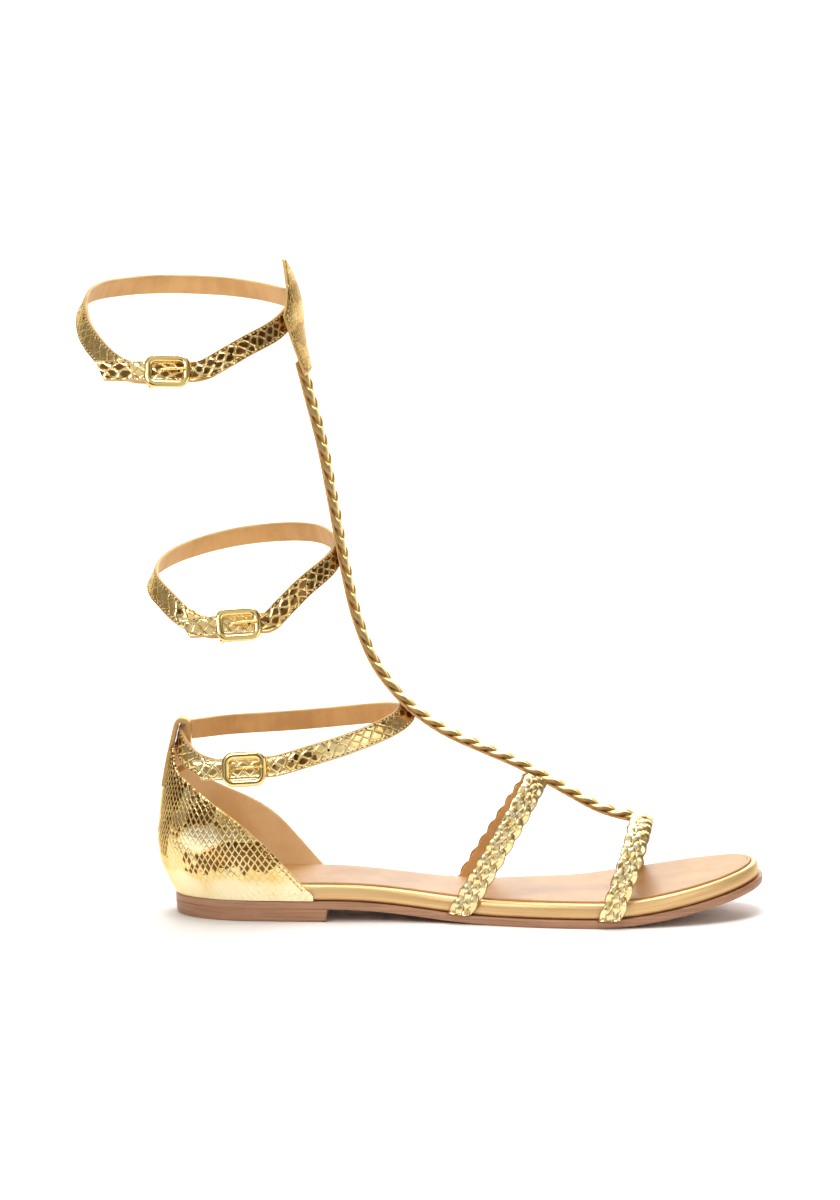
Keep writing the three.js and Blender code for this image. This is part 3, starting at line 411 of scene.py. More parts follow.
class Graph:
    """Short names for a node tree's nodes."""

    def __init__(self, tree):
        self.tree = tree

    def put(self, socket, value):
        if isinstance(value, bpy.types.NodeSocket):
            self.tree.links.new(value, socket)
        else:
            socket.default_value = value

    def add(self, kind, inputs=None, output=0, **settings):
        node = self.tree.nodes.new(kind)
        for key, value in settings.items():
            setattr(node, key, value)
        for key, value in (inputs or {}).items():
            self.put(node.inputs[key], value)
        return node.outputs[output]

    def math(self, operation, a, b=0.0, clamp=False):
        return self.add("ShaderNodeMath", {0: a, 1: b}, operation=operation, use_clamp=clamp)

    def plus(self, a, b):
        return self.math("ADD", a, b)

    def minus(self, a, b):
        return self.math("SUBTRACT", a, b)

    def times(self, a, b, clamp=False):
        return self.math("MULTIPLY", a, b, clamp)

    def part(self, vector, axis):
        return self.add("ShaderNodeSeparateXYZ", {0: vector}, output=axis)

    def shade(self, name, value):
        """Sets or links one input of the material's shader."""
        self.put(self.tree.nodes["Principled BSDF"].inputs[name], value)

    def vector(self, operation, a, b):
        return self.add("ShaderNodeVectorMath", {0: a, 1: b}, operation=operation)

    def smooth(self, value, low, high):
        """0 below low, 1 above high."""
        return self.add(
            "ShaderNodeMapRange",
            {"Value": value, "From Min": low, "From Max": high},
            interpolation_type="SMOOTHSTEP",
        )

    def blend(self, factor, a, b):
        node = self.tree.nodes.new("ShaderNodeMix")
        node.data_type = "RGBA"
        self.put(node.inputs["Factor"], factor)
        self.put(node.inputs["A"], a)
        self.put(node.inputs["B"], b)
        return node.outputs["Result"]

    def uv(self, stretch=(1, 1), turn=0.0):
        """The mesh's UVs in millimetres, scaled and turned."""
        node = self.add("ShaderNodeUVMap", uv_map="length")
        scaled = self.add("ShaderNodeMapping", {"Vector": node, "Scale": (*stretch, 1)})
        return self.add("ShaderNodeMapping", {"Vector": scaled, "Rotation": (0, 0, math.radians(turn))})

    def place(self, scale=1.0):
        """The object's own coordinates in millimetres."""
        node = self.add("ShaderNodeTexCoord", output="Object")
        return self.vector("MULTIPLY", node, (scale / MM,) * 3)

    def noise(self, vector, scale, detail=3.0, roughness=0.55):
        return self.add(
            "ShaderNodeTexNoise",
            {"Vector": vector, "Scale": scale, "Detail": detail, "Roughness": roughness},
        )

    def bump(self, height, distance, strength=1.0, normal=None):
        inputs = {"Height": height, "Distance": distance * MM, "Strength": strength}
        if normal is not None:
            inputs["Normal"] = normal
        return self.add("ShaderNodeBump", inputs)


GOLD_LIGHT = (0.96, 0.74, 0.33, 1)
GOLD = (0.88, 0.6, 0.2, 1)
GOLD_PALE = (0.98, 0.84, 0.5, 1)
GOLD_OLIVE = (0.48, 0.3, 0.08, 1)
GOLD_WHITE_TONE_AND_HIGHLIGHT = (1.0, 0.93, 0.68, 1)
SCALE_DARK = (0.13, 0.052, 0.008, 1)
SCALE_RUST = (0.36, 0.17, 0.035, 1)
LACE_EDGE_AND_GAP_SHADE = (0.3, 0.15, 0.035, 1)


def zone_weight(g, u, v, zone):
    """The weight of one elliptical zone at u and v: middle, half sizes in mm, slant in degrees and weight."""
    u0, v0, long, wide, slant, weight = zone
    c, s = math.cos(math.radians(slant)), math.sin(math.radians(slant))
    du, dv = g.minus(u, u0), g.minus(v, v0)
    along = g.plus(g.times(du, c / long), g.times(dv, s / long))
    beside = g.minus(g.times(dv, c / wide), g.times(du, s / wide))
    spread = g.plus(g.times(along, along), g.times(beside, beside))
    return g.times(g.smooth(spread, 1.5, 0.5), weight)


def scale_net(g, cell, shift):
    """The net of scales in the UVs.

    Gives each scale's random value, the distance to its border, the place in it and its face's slant.
    """
    plain = g.uv()
    moved = g.vector("ADD", plain, (0, shift, 0))
    scaled = g.add("ShaderNodeMapping", {"Vector": moved, "Scale": (0.7071 / cell[0], 0.7071 / cell[1], 1)})
    lattice = g.add("ShaderNodeMapping", {"Vector": scaled, "Rotation": (0, 0, math.radians(45))})
    wobble = g.add("ShaderNodeTexNoise", {"Vector": plain, "Scale": 0.11, "Detail": 2.0}, output=1)
    wobble = g.vector("MULTIPLY", g.vector("SUBTRACT", wobble, (0.5, 0.5, 0.5)), (0.9, 0.9, 0))
    where = g.vector("ADD", lattice, wobble)
    net = {"Vector": where, "Scale": 1.0, "Randomness": 0.2}
    cells = g.tree.nodes.new("ShaderNodeTexVoronoi")
    cells.voronoi_dimensions = "2D"
    for key, value in net.items():
        g.put(cells.inputs[key], value)
    border = g.add("ShaderNodeTexVoronoi", net, voronoi_dimensions="2D", feature="DISTANCE_TO_EDGE")
    luck = g.add("ShaderNodeSeparateColor", {0: cells.outputs["Color"]})
    inner = g.vector("SUBTRACT", where, cells.outputs["Position"])
    facing = g.vector("SUBTRACT", cells.outputs["Color"], (0.5, 0.5, 0.5))
    slant = g.add("ShaderNodeVectorMath", {0: inner, 1: facing}, output="Value", operation="DOT_PRODUCT")
    return luck, border, inner, slant


def snake_leather(
    name,
    cell,
    share,
    shift=0.0,
    zones=(),
    patch=14.0,
    relief=0.2,
    strokes=0.3,
    edge_rows=None,
    flat=0.62,
    palette=(GOLD_PALE, GOLD_LIGHT, GOLD),
):
    """Gold foil leather embossed with scales.

    share is how many scales show brown, more so in the zones, and flat is how much of a scale's height its
    brown middle takes. Zones with negative weights give fewer brown scales and whiter gold; the counter and
    the straps use their zones as painted reflections of dark and bright surroundings, and the white as a
    painted highlight. patch is the size in mm of the brown patches, strokes the strength of the fine wear and
    edge_rows the distance from the middle line where the brown ends.
    """
    made, g = material(name, 0.27, 0.92, coat=0.05)
    pale, light, deep = palette
    luck, border, inner, slant = scale_net(g, cell, shift)
    u, v = g.part(g.uv(), "X"), g.part(g.uv(), "Y")

    level = g.plus(g.noise(g.place(), 1.0 / patch, 2, 0.5), g.times(g.minus(luck, 0.5), 0.2))
    # Zones raise or lower the brown; on the counter and the straps they are painted reflections.
    for zone in zones:
        level = g.plus(level, zone_weight(g, u, v, zone))
    if edge_rows is not None:
        outer = g.smooth(g.math("ABSOLUTE", v), edge_rows, edge_rows + 0.5)
        level = g.minus(level, g.times(outer, 0.3))
    edge = 0.5 + (0.5 - share) * 0.5
    dark = g.smooth(level, edge - 0.03, edge + 0.03)
    height = g.math("ABSOLUTE", g.minus(g.part(inner, "Y"), g.part(inner, "X")))
    inside = g.times(g.smooth(border, 0.07, 0.13), g.smooth(height, flat, flat - 0.12))
    brown = g.times(dark, inside, clamp=True)

    base = g.blend(g.smooth(g.noise(g.place(), 0.09, 3), 0.35, 0.65), light, deep)
    base = g.blend(g.times(luck, 0.5), base, pale)
    line = g.times(g.smooth(border, 0.07, 0.02), g.minus(0.5, g.times(dark, 0.45)))
    line = g.times(line, g.smooth(level, -0.05, 0.35))
    fine = g.noise(g.uv((1.5 / cell[0], 0.55 / cell[1])), 1.0, 3, 0.6)
    line = g.math("MAXIMUM", line, g.times(g.smooth(fine, 0.56, 0.66), strokes))
    # Where the brown is lowest the gold goes white and its net lines fade: random pale tone, and on the
    # counter a painted highlight and painted reflection of the floor.
    base = g.blend(g.times(g.smooth(level, 0.38, -0.15), 0.65), base, GOLD_WHITE_TONE_AND_HIGHLIGHT)
    base = g.blend(line, base, GOLD_OLIVE)
    scale = g.blend(g.smooth(border, 0.1, 0.3), SCALE_RUST, SCALE_DARK)
    g.shade("Base Color", g.blend(g.times(brown, 0.95), base, scale))

    g.shade("Roughness", g.plus(0.13, g.times(g.noise(g.place(), 0.3, 2), 0.16)))
    dome = g.minus(g.smooth(border, 0.0, 0.2), g.times(slant, -0.55))
    normal = g.bump(dome, relief, 0.7)
    g.shade("Normal", g.bump(g.noise(g.place(), 0.35, 3, 0.5), 0.35, 0.35, normal))
    return made


def foil_leather(name):
    """Smooth gold foil on the braids' laces, softly creased, with brown lace edges darkened further as
    painted shade in the gaps between laces.
    """
    made, g = material(name, 0.2, 0.93, coat=0.1)
    tone = g.noise(g.place(), 0.2, 3)
    wear = g.noise(g.place(), 0.7, 3, 0.6)
    base = g.blend(g.smooth(tone, 0.3, 0.7), GOLD_PALE, GOLD_LIGHT)
    base = g.blend(g.times(g.smooth(wear, 0.6, 0.72), 0.35), base, GOLD_OLIVE)
    aside = g.part(g.uv(), "Y")
    # Brown at the laces' edges: their brown outline, darkened further as painted shade in the gaps between
    # laces.
    lace_edge_shade = g.smooth(g.math("ABSOLUTE", aside), 0.3, 0.46)
    base = g.blend(g.times(lace_edge_shade, 0.8), base, LACE_EDGE_AND_GAP_SHADE)
    g.shade("Base Color", base)
    rough = g.plus(0.13, g.times(g.noise(g.place(), 0.6, 2), 0.16))
    g.shade("Roughness", g.plus(rough, g.times(lace_edge_shade, 0.3)))
    folds = g.noise(g.uv((0.6, 1.2)), 1.0, 2, 0.5)
    normal = g.bump(folds, 0.4, 0.4)
    g.shade("Normal", g.bump(wear, 0.1, 0.3, normal))
    return made


def lining_leather(name, light, dark, roughness=0.52, creases=0.0):
    """Plain tan leather with fine pores, soft patches and creases across it."""
    made, g = material(name, roughness)
    g.shade("Specular IOR Level", 0.28)
    patches = g.noise(g.place(), 0.05, 3)
    pores = g.add("ShaderNodeTexVoronoi", {"Vector": g.place(), "Scale": 2.2})
    fine = g.noise(g.place(), 1.4, 4, 0.65)
    across = g.noise(g.uv((0.16, 0.02)), 1.0, 3, 0.6)
    shade = g.plus(patches, g.times(g.minus(fine, 0.5), 0.22))
    shade = g.plus(shade, g.times(g.minus(across, 0.5), creases))
    g.shade("Base Color", g.blend(g.smooth(shade, 0.32, 0.68), light, dark))
    g.shade("Roughness", g.plus(roughness - 0.08, g.times(fine, 0.16)))
    normal = g.bump(g.times(pores, -1.0), 0.05, 0.35)
    normal = g.bump(fine, 0.06, 0.4, normal)
    g.shade("Normal", g.bump(across, 0.5 * creases, 0.5, normal))
    return made


def band_leather(name):
    """Satin gold wrap of the footbed's edge, with faint lines along it."""
    made, g = material(name, 0.36, 0.45, coat=0.1)
    streaks = g.noise(g.uv((0.02, 1.6)), 1.0, 3)
    fine = g.noise(g.place(), 1.5, 4, 0.65)
    base = g.blend(g.smooth(streaks, 0.35, 0.7), (0.83, 0.56, 0.27, 1), (0.72, 0.46, 0.2, 1))
    g.shade("Base Color", base)
    g.shade("Roughness", g.plus(0.25, g.times(fine, 0.18)))
    g.shade("Normal", g.bump(g.plus(fine, streaks), 0.08, 0.5))
    return made


def sole_board(name):
    """Pink-brown board of the outsole and heel, with the faint lines of its layers and lighter patches."""
    made, g = material(name, 0.5, coat=0.12)
    height = g.part(g.place(), "Z")
    fibres = g.noise(g.vector("MULTIPLY", g.place(), (0.03, 0.03, 1.4)), 1.0, 4)
    layers = g.math("SINE", g.times(height, 3.6))
    patches = g.noise(g.place(), 0.06, 3)
    base = g.blend(g.smooth(fibres, 0.35, 0.7), (0.46, 0.235, 0.13, 1), (0.33, 0.155, 0.08, 1))
    base = g.blend(g.times(g.smooth(patches, 0.5, 0.8), 0.4), base, (0.54, 0.3, 0.18, 1))
    g.shade("Base Color", base)
    g.shade("Roughness", g.plus(0.4, g.times(fibres, 0.2)))
    grain = g.plus(fibres, g.noise(g.place(), 1.2, 4))
    g.shade("Normal", g.bump(g.plus(g.times(layers, 0.15), grain), 0.1, 0.5))
    return made


def polished_metal(name):
    """Bright gold plate with faint handling marks."""
    made, g = material(name, 0.13, 1.0)
    marks = g.noise(g.vector("MULTIPLY", g.place(), (1.0, 1.0, 4.0)), 1.0, 4, 0.7)
    soft = g.noise(g.place(), 0.25, 2)
    g.shade("Base Color", g.blend(soft, (0.98, 0.78, 0.36, 1), (0.9, 0.66, 0.24, 1)))
    g.shade("Roughness", g.plus(0.07, g.times(marks, 0.16)))
    g.shade("Normal", g.bump(marks, 0.02, 0.4))
    return made


def thread(name):
    """Twisted gold thread."""
    made, g = material(name, 0.45, 0.35)
    twist = g.noise(g.place(), 3.0, 3)
    g.shade("Base Color", g.blend(twist, (0.86, 0.64, 0.3, 1), (0.6, 0.4, 0.15, 1)))
    g.shade("Normal", g.bump(twist, 0.08, 0.6))
    return made


def painted_hole_shade(name):
    """Dark brown painted shade inside a pricked or punched hole."""
    made, g = material(name, 0.8)
    fine = g.noise(g.place(), 2.0, 2)
    g.shade("Base Color", g.blend(fine, (0.08, 0.04, 0.012, 1), (0.16, 0.085, 0.03, 1)))
    return made


# Painted reflections on the counter: zones with positive weights put brown scales where dark surroundings
# reflect, and zones with negative weights turn it pale and white where the floor and a lamp reflect.
# u round the heel from its back and v up it, in mm.
COUNTER_REFLECTION_ZONES = [
    (-15, 47, 6, 24, 0, 0.55),
    (12, 47, 7, 24, 0, 0.5),
    (-24, 54, 4, 8, 0, 0.28),
    (-39, 45, 8, 5, -30, 0.36),
    (-39, 35, 10, 6, -10, -0.65),
    (-52, 29, 13, 5, -12, 0.42),
    (-65, 27, 6, 4, -30, 0.36),
    (36, 42, 12, 8, 30, 0.3),
    (54, 27, 14, 6, 15, 0.3),
    (0, 7, 130, 12, 0, -0.6),
    (-20, 19, 16, 5, 20, -0.3),
]
# Where the patch's brown scales lie: u down from its tip and v across it, in mm.
PATCH_ZONES = [
    (5, 0, 6, 12, 0, -0.3),
    (15, 0, 4.5, 18, 0, 0.3),
    (24, 0, 3.5, 12, 0, -0.3),
    (32, 0, 6, 16, 0, 0.32),
]
PATCH_GOLD = ((0.92, 0.7, 0.36, 1), (0.84, 0.58, 0.25, 1), (0.72, 0.46, 0.17, 1))
# The counter's leather: its zones are painted reflections, and its white is a painted highlight.
SNAKE_COUNTER_PAINTED_REFLECTIONS = snake_leather(
    "snake_counter_painted_reflections", (1.3, 2.1), 0.34, zones=COUNTER_REFLECTION_ZONES, patch=15, relief=0.12, strokes=0.12, flat=0.85
)
SNAKE_TAB = snake_leather("snake_tab", (2.1, 1.5), 0.6, patch=12)
SNAKE_PATCH = snake_leather(
    "snake_patch",
    (1.9, 1.2),
    0.2,
    zones=PATCH_ZONES,
    patch=10,
    relief=0.12,
    strokes=0.4,
    flat=0.8,
    palette=PATCH_GOLD,
)
FOIL = foil_leather("foil_braid")
LINING = lining_leather("tan_lining", (0.72, 0.42, 0.165, 1), (0.6, 0.325, 0.115, 1), creases=0.5)
LINING_PALE = lining_leather("pale_lining", (0.9, 0.68, 0.4, 1), (0.8, 0.55, 0.28, 1))
SOCK = lining_leather("sock_leather", (0.53, 0.285, 0.095, 1), (0.44, 0.225, 0.068, 1), 0.42)
EDGE = lining_leather("edge_paint", (0.72, 0.46, 0.17, 1), (0.5, 0.29, 0.09, 1), 0.4)
BAND = band_leather("gold_band")
BOARD = sole_board("sole_board")
METAL = polished_metal("gold_plate")
THREAD = thread("gold_thread")
HOLE_SHADE = painted_hole_shade("painted_hole_shade")


# Sole

sole_centre = curve_of([(along, centre) for along, centre, _ in SOLE_FORM])
sole_half = curve_of([(along, half) for along, _, half in SOLE_FORM])


def roundness(distance, end):
    share, power = end
    gone = np.clip(np.asarray(distance, float) / share, 0, 1)
    return (1 - (1 - gone) ** power) ** (1 / power)


def sole_edge(along, side):
    """A point on the sole's edge: side is -1 on the outer and 1 on the inner side."""
    along = np.asarray(along, float)
    half = sole_half(along) * roundness(along, HEEL_ROUND) * roundness(1 - along, TOE_ROUND)
    y = (sole_centre(along) + side * half) * BALL_WIDTH
    return np.stack([HEEL_BACK + along * SOLE_LENGTH, y], -1)


# Points along each side of the sole.
STATIONS = 110


def sole_outline(inset, until=1.0):
    """The outline from the back of the heel up the outer side, and back down the inner side."""
    steps = np.arange(STATIONS + 1) / STATIONS
    if until < 1:
        shares = until * (1 - np.cos(math.pi / 2 * steps))
        points = np.vstack([sole_edge(shares, -1), sole_edge(shares, 1)[1:][::-1]])
    else:
        shares = (1 - np.cos(math.pi * steps)) / 2
        points = np.vstack([sole_edge(shares, -1), sole_edge(shares, 1)[1:-1][::-1]])
    run = unit(np.roll(points, -1, axis=0) - np.roll(points, 1, axis=0))
    return points + np.stack([-run[:, 1], run[:, 0]], -1) * inset


def tread_height(x, y):
    along = (x + TOE_SKEW * y - HEEL_BACK) / SOLE_LENGTH
    forefoot = HEEL_BACK + FOREFOOT_START * SOLE_LENGTH
    arch = (1 + np.cos(math.pi * np.clip((x - LIFT_FRONT) / (forefoot - LIFT_FRONT), 0, 1))) / 2
    toe = np.maximum(0, (along - FOREFOOT_END) / (1 - FOREFOOT_END)) ** FOREFOOT_CURL
    return (LIFT_HEIGHT + SEAM) * arch + TOE_SPRING * toe


def outsole_top(x, y):
    return tread_height(x, y) + OUTSOLE_THICKNESS


def footbed_top(x, y):
    return outsole_top(x, y) + SEAM + FOOTBED_THICKNESS


def layer_ring(inset, rise, base_at):
    flat = sole_outline(inset)
    return np.column_stack([flat, base_at(flat[:, 0], flat[:, 1]) + rise])


def ladder(shape, inset, rise_at, columns=14):
    """A surface across the sole; rise_at gives its height from x, y and the share across."""
    ring = sole_outline(inset)
    n = len(ring)
    outer = ring[np.arange(STATIONS + 1)]
    inner = ring[(n - np.arange(STATIONS + 1)) % n]
    across = np.linspace(0, 1, columns + 1)
    flat = outer[:, None] + (inner - outer)[:, None] * across[None, :, None]
    x, y = flat[..., 0], flat[..., 1]
    grid = np.dstack([x, y, rise_at(x, y, across[None, :])])
    shape.grid(grid, outer[:, 0], y)


def sole_layer(rows, base_at, lift=lambda across: 0):
    """A layer of the sole: rows of inset and rise up its edge, with a bottom and a top that lift shapes."""
    shape = Shape()
    rings = np.array([layer_ring(inset, rise, base_at) for inset, rise in rows])
    lengths = distances(sole_outline(0))
    climb = distances(np.array(rows))
    for k in range(len(rows) - 1):
        pair = np.concatenate([rings[k : k + 2], rings[k : k + 2, :1]], axis=1)
        shape.grid(pair.transpose(1, 0, 2), np.r_[lengths, lengths[-1] + 0.5], climb[k : k + 2])
    bottom_inset, bottom_rise = rows[0]
    top_inset, top_rise = rows[-1]
    ladder(shape, bottom_inset, lambda x, y, _: base_at(x, y) + bottom_rise)
    ladder(shape, top_inset, lambda x, y, across: base_at(x, y) + top_rise + lift(across))
    return shape


def make_outsole():
    t = OUTSOLE_THICKNESS
    rows = [(0.9, 0), (0.4, 0.12), (0.12, 0.45), (0.03, 1.2), (0, 0.6 * t), (0.05, 0.85 * t), (0.35, t)]
    shape = sole_layer(rows, tread_height)
    shape.build("outsole_board", [BOARD], "outsole", ["outsole"], sharp=50)


def make_footbed():
    e, t = FOOTBED_INSET, FOOTBED_THICKNESS
    rows = [
        (e + 0.9, 0), (e + 0.25, 0.35), (e, 1.0), (e - 0.05, 0.3 * t), (e + 0.05, 0.55 * t),
        (e + 0.3, 0.75 * t), (e + 0.8, 0.89 * t), (e + 1.5, 0.97 * t), (e + 2.2, t),
        (RECESS_INSET - 0.4, t), (RECESS_INSET - 0.1, t - 0.12),
        (RECESS_INSET + 0.2, t - RECESS_DEPTH),
    ]
    shape = sole_layer(rows, lambda x, y: outsole_top(x, y) + SEAM)
    shape.build("footbed_wrap", [BAND], "footbed", ["footbed"], sharp=50)


def make_insole():
    e, t = RECESS_INSET + 0.3, INSOLE_THICKNESS
    rows = [(e, 0), (e - 0.05, 0.45), (e + 0.15, t - 0.25), (e + 0.6, t - 0.05), (e + 1.2, t)]
    base = lambda x, y: footbed_top(x, y) - RECESS_DEPTH + SEAM
    cup = lambda across: -0.35 * (1 - (2 * across - 1) ** 2)
    shape = sole_layer(rows, base, cup)
    shape.build("insole_sheet", [SOCK], "insole", ["insole"])


def make_heel_lift():
    top = LIFT_HEIGHT
    rows = [(1.6, 0), (0.9, 0.25), (0.6, 0.9), (0.4, 2.2), (0.15, top - 0.3), (0.12, top + 0.5)]
    front = (LIFT_FRONT - HEEL_BACK) / SOLE_LENGTH
    rings = []
    for inset, rise in rows:
        flat = sole_outline(inset, front)
        flat[:, 0] = np.minimum(flat[:, 0], LIFT_FRONT)
        rings.append(np.column_stack([flat, np.full(len(flat), rise)]))
    shape = Shape()
    shape.loft(rings)
    shape.build("heel_block", [BOARD], "outsole", ["heel_lift"], sharp=40)


# Heel counter

outer_collar = curve_of([(turn, outer) for turn, outer, _ in COLLAR_FORM])
inner_collar = curve_of([(turn, inner) for turn, _, inner in COLLAR_FORM])
heel_back = curve_of([(rise, back) for rise, back, _ in HEEL_FORM])
heel_wide = curve_of([(rise, wide) for rise, _, wide in HEEL_FORM])
# Length that one turn of the counter, from its back to a front corner, has in the UVs.
TURN_LENGTH = 80
# Where each seam groove on the tab's face begins, is deepest and ends, aside from its middle line.
TAB_SEAM = (2.9, 3.2, 3.5)


def collar_rise(turn):
    return float(outer_collar(-turn) if turn < 0 else inner_collar(turn))


# Soft dents placed on the counter: turn, rise, half length, half width, slant and depth.
CREASES = [
    (-0.5, 0.3, 0.26, 0.045, 0.5, 0.5),
    (-0.26, 0.55, 0.2, 0.05, -0.35, 0.45),
    (-0.66, 0.22, 0.16, 0.04, 0.9, 0.35),
    (0.42, 0.36, 0.25, 0.05, -0.5, 0.5),
    (0.2, 0.62, 0.18, 0.045, 0.4, 0.4),
    (-0.06, 0.8, 0.1, 0.03, 0.1, 0.35),
]


def crease_depth(turn, rise):
    depth = 0
    for at, up, long, wide, slant, deep in CREASES:
        s, r = turn - at, rise - up
        along = s * math.cos(slant) + r * math.sin(slant)
        beside = r * math.cos(slant) - s * math.sin(slant)
        depth += deep * math.exp(-((along / long) ** 2) - (beside / wide) ** 2)
    return depth


def counter_point(turn, rise, depth):
    """A point of the counter's wall; turn runs from -1, the outer front corner, to 1."""
    side = -1 if turn < 0 else 1
    share = abs(turn)
    along = lambda t: COUNTER_REACH[side] / SOLE_LENGTH * (1 - math.cos(abs(t) * math.pi / 2))
    step = 0.01
    here = sole_edge(along(turn), side)
    ahead = sole_edge(along(share + step), side)
    behind = sole_edge(along(share - step), -side if share < step else side)
    run = unit(ahead - behind) * side
    weight = 1 - share**1.6
    inset = depth + 0.15
    x = here[0] + run[1] * inset - heel_back(rise) * COUNTER_HEIGHT * weight
    y = here[1] * heel_wide(rise) - run[0] * inset
    return np.array([x, y, outsole_top(here[0], here[1]) + SEAM + rise * COUNTER_HEIGHT])


def make_counter():
    columns, rows = 150, 34
    wall = COUNTER_WALL
    rings = []
    for i in range(columns + 1):
        turn = -1 + 2 * i / columns
        top = collar_rise(turn)
        climb = [top * k / rows for k in range(rows + 1)]
        outside = [counter_point(turn, rise, crease_depth(turn, rise)) for rise in climb]
        inside = [counter_point(turn, rise, wall + 0.8 * crease_depth(turn, rise)) for rise in climb]
        low, high = outside[-1], inside[-1]
        middle, across = (low + high) / 2, (low - high) / 2
        lip = [
            middle + across * math.cos(angle) + UP * (wall / 2) * math.sin(angle)
            for angle in np.arange(1, 6) * math.pi / 6
        ]
        rings.append([*outside, *lip, *inside[::-1]])
    rings = np.array(rings)
    n = rings.shape[1]
    # The leather covers the outside and half of the rounded edge.
    covered = rows + 4
    # The UVs follow the height, so that the scales keep their size as the collar falls.
    shape = Shape()
    u = TURN_LENGTH * np.linspace(-1, 1, columns + 1)
    closed = np.concatenate([rings, rings[:, :1]], axis=1)
    for j in range(n):
        strip = closed[:, j : j + 2]
        shape.grid(strip, u, strip[..., 2] if j < n - 1 else [0, 0], 0 if j < covered else 1)
    for ring in (rings[0], rings[-1]):
        count = n // 2 + n % 2
        pairs = np.array([[ring[j], ring[n - 1 - j]] for j in range(count)])
        shape.grid(pairs, pairs[:, 0, 2], [0, wall], 2)
    shape.build("counter_shell", [SNAKE_COUNTER_PAINTED_REFLECTIONS, LINING_PALE, EDGE], "snake", ["heel_counter"], sharp=60)


def slot_back():
    return TAB_SPAN / -2 - counter_point(0, 1.03, COUNTER_WALL / 2)[0]


def make_tab():
    outer = lambda rise: counter_point(0, rise, COUNTER_WALL / 2)
    crown = outer(TAB_TOP)
    bend = []
    for i in range(7):
        angle = math.pi * i / 6
        lift = math.sin(angle) * TAB_SPAN / 2
        bend.append([crown[0] + TAB_SPAN * (1 - math.cos(angle)) / 2, 0, crown[2] + lift])
    climb = [outer(rise) for rise in (0.72, 0.85, 0.95, 1.05)]
    inside = [[crown[0] + TAB_SPAN, 0, outer(rise)[2]] for rise in (1, 0.88)]
    back = counter_point(0, TAB_FOOT, COUNTER_WALL / 2 + TAB_SPAN * 0.55)
    end = counter_point(0, TAB_FOOT - 0.06, COUNTER_WALL + TAB_WALL / 3)
    route = Spline([*climb, *bend, *inside, back, end])
    point, run = route.at(np.linspace(0, route.length, 70))
    out = unit(np.column_stack([-run[:, 2], np.zeros(len(run)), run[:, 0]]))
    side = np.tile([0.0, 1.0, 0.0], (len(run), 1))
    near, deepest, far = TAB_SEAM
    inner = [(-far, 0), (-deepest, -0.14), (-near, 0), (0, 0), (near, 0), (deepest, -0.14), (far, 0)]
    template, zones = rounded_bar(TAB_WIDTH / 2, TAB_WALL / 2, 0.5, inner)
    shape = Shape()
    shape.loft(section(point, side, out, template), [(0, 2, 1)[z] for z in zones])
    shape.build("counter_tab", [SNAKE_TAB, LINING, EDGE], "snake")


# Spine and arched straps

spine = Spline([(f * SOLE_LENGTH, a * SOLE_LENGTH, r * SHAFT_HEIGHT) for f, r, a, _ in SPINE_FORM])
spine_twist = curve_of([(rise, twist) for _, rise, _, twist in SPINE_FORM])


def spine_frame(distance):
    """Points, directions along, out from the leg and across at distances up the spine."""
    point, run = spine.at(distance)
    out = unit(np.column_stack([run[:, 2], np.zeros(len(run)), -run[:, 0]]))
    turn = -np.radians(spine_twist(point[:, 2] / SHAFT_HEIGHT))[:, None]
    out = out * np.cos(turn) + np.cross(run, out) * np.sin(turn)
    return point, run, out, np.cross(out, run)


def spine_distance(height):
    low, high = 0.0, spine.length
    for _ in range(30):
        middle = (low + high) / 2
        low, high = (middle, high) if spine.at(middle)[0][0, 2] < height else (low, middle)
    return low


def strap_foot(from_heel, side):
    along, step = from_heel / SOLE_LENGTH, 0.01
    here = sole_edge(along, side)
    run = unit(sole_edge(along + step, side) - sole_edge(along - step, side))
    offset = FOOTBED_INSET - SEAM - 0.35 - BRAID_WALL / 2
    x = here[0] + side * run[1] * offset
    y = here[1] - side * run[0] * offset
    return np.array([x, y, outsole_top(x, y) - ARCH_WIDTH / 3]), run[1] / run[0]


class Arch:
    """An arch from the outer edge of the sole over the foot to the inner edge."""

    def __init__(self, feet, crown):
        self.outer, self.outer_slope = strap_foot(feet[0], -1)
        self.inner, self.inner_slope = strap_foot(feet[1], 1)
        self.crown = crown
        t = np.linspace(0, 1, 241)
        angle = math.pi * t
        foot = np.where(t[:, None] < 0.5, self.outer, self.inner)
        rise = np.sin(angle) ** (2 / ARCH_POWER)
        spread = np.abs(np.cos(angle)) ** (2 / ARCH_POWER)
        x, z = mix(foot[:, 0], crown[0], rise), mix(foot[:, 2], crown[2], rise)
        y = mix(crown[1], foot[:, 1], spread)
        self.route = Spline(np.column_stack([x, y, z]))
        self.length = self.route.length
        self.lean = unit((crown - self.outer) * [1, 0, 1])

    def frame(self, distance):
        point, run = self.route.at(distance)
        share = np.clip(np.asarray(distance) / self.length, 0, 1)
        near = np.clip(1 - (point[:, 2] - self.outer[2]) / (self.crown[2] - self.outer[2]), 0, 1)
        slope = np.where(share < 0.5, self.outer_slope, self.inner_slope) * near
        across = np.column_stack([np.full(len(near), self.lean[2]), slope, np.full(len(near), -self.lean[0])])
        across = unit(across - run * np.sum(across * run, axis=1, keepdims=True))
        out = np.cross(run, across)
        sign = np.sign(out[:, 2] + out[:, 1] * np.sign(point[:, 1] - self.crown[1]))
        return point, run, out * np.where(sign < 0, -1, 1)[:, None], across


def above_sole(rings):
    """Keeps a strap's rings above the outsole, where the strap goes in under the footbed."""
    x, y, z = rings[..., 0], rings[..., 1], rings[..., 2]
    return np.stack([x, y, np.maximum(z, outsole_top(x, y) + SEAM / 2)], -1)


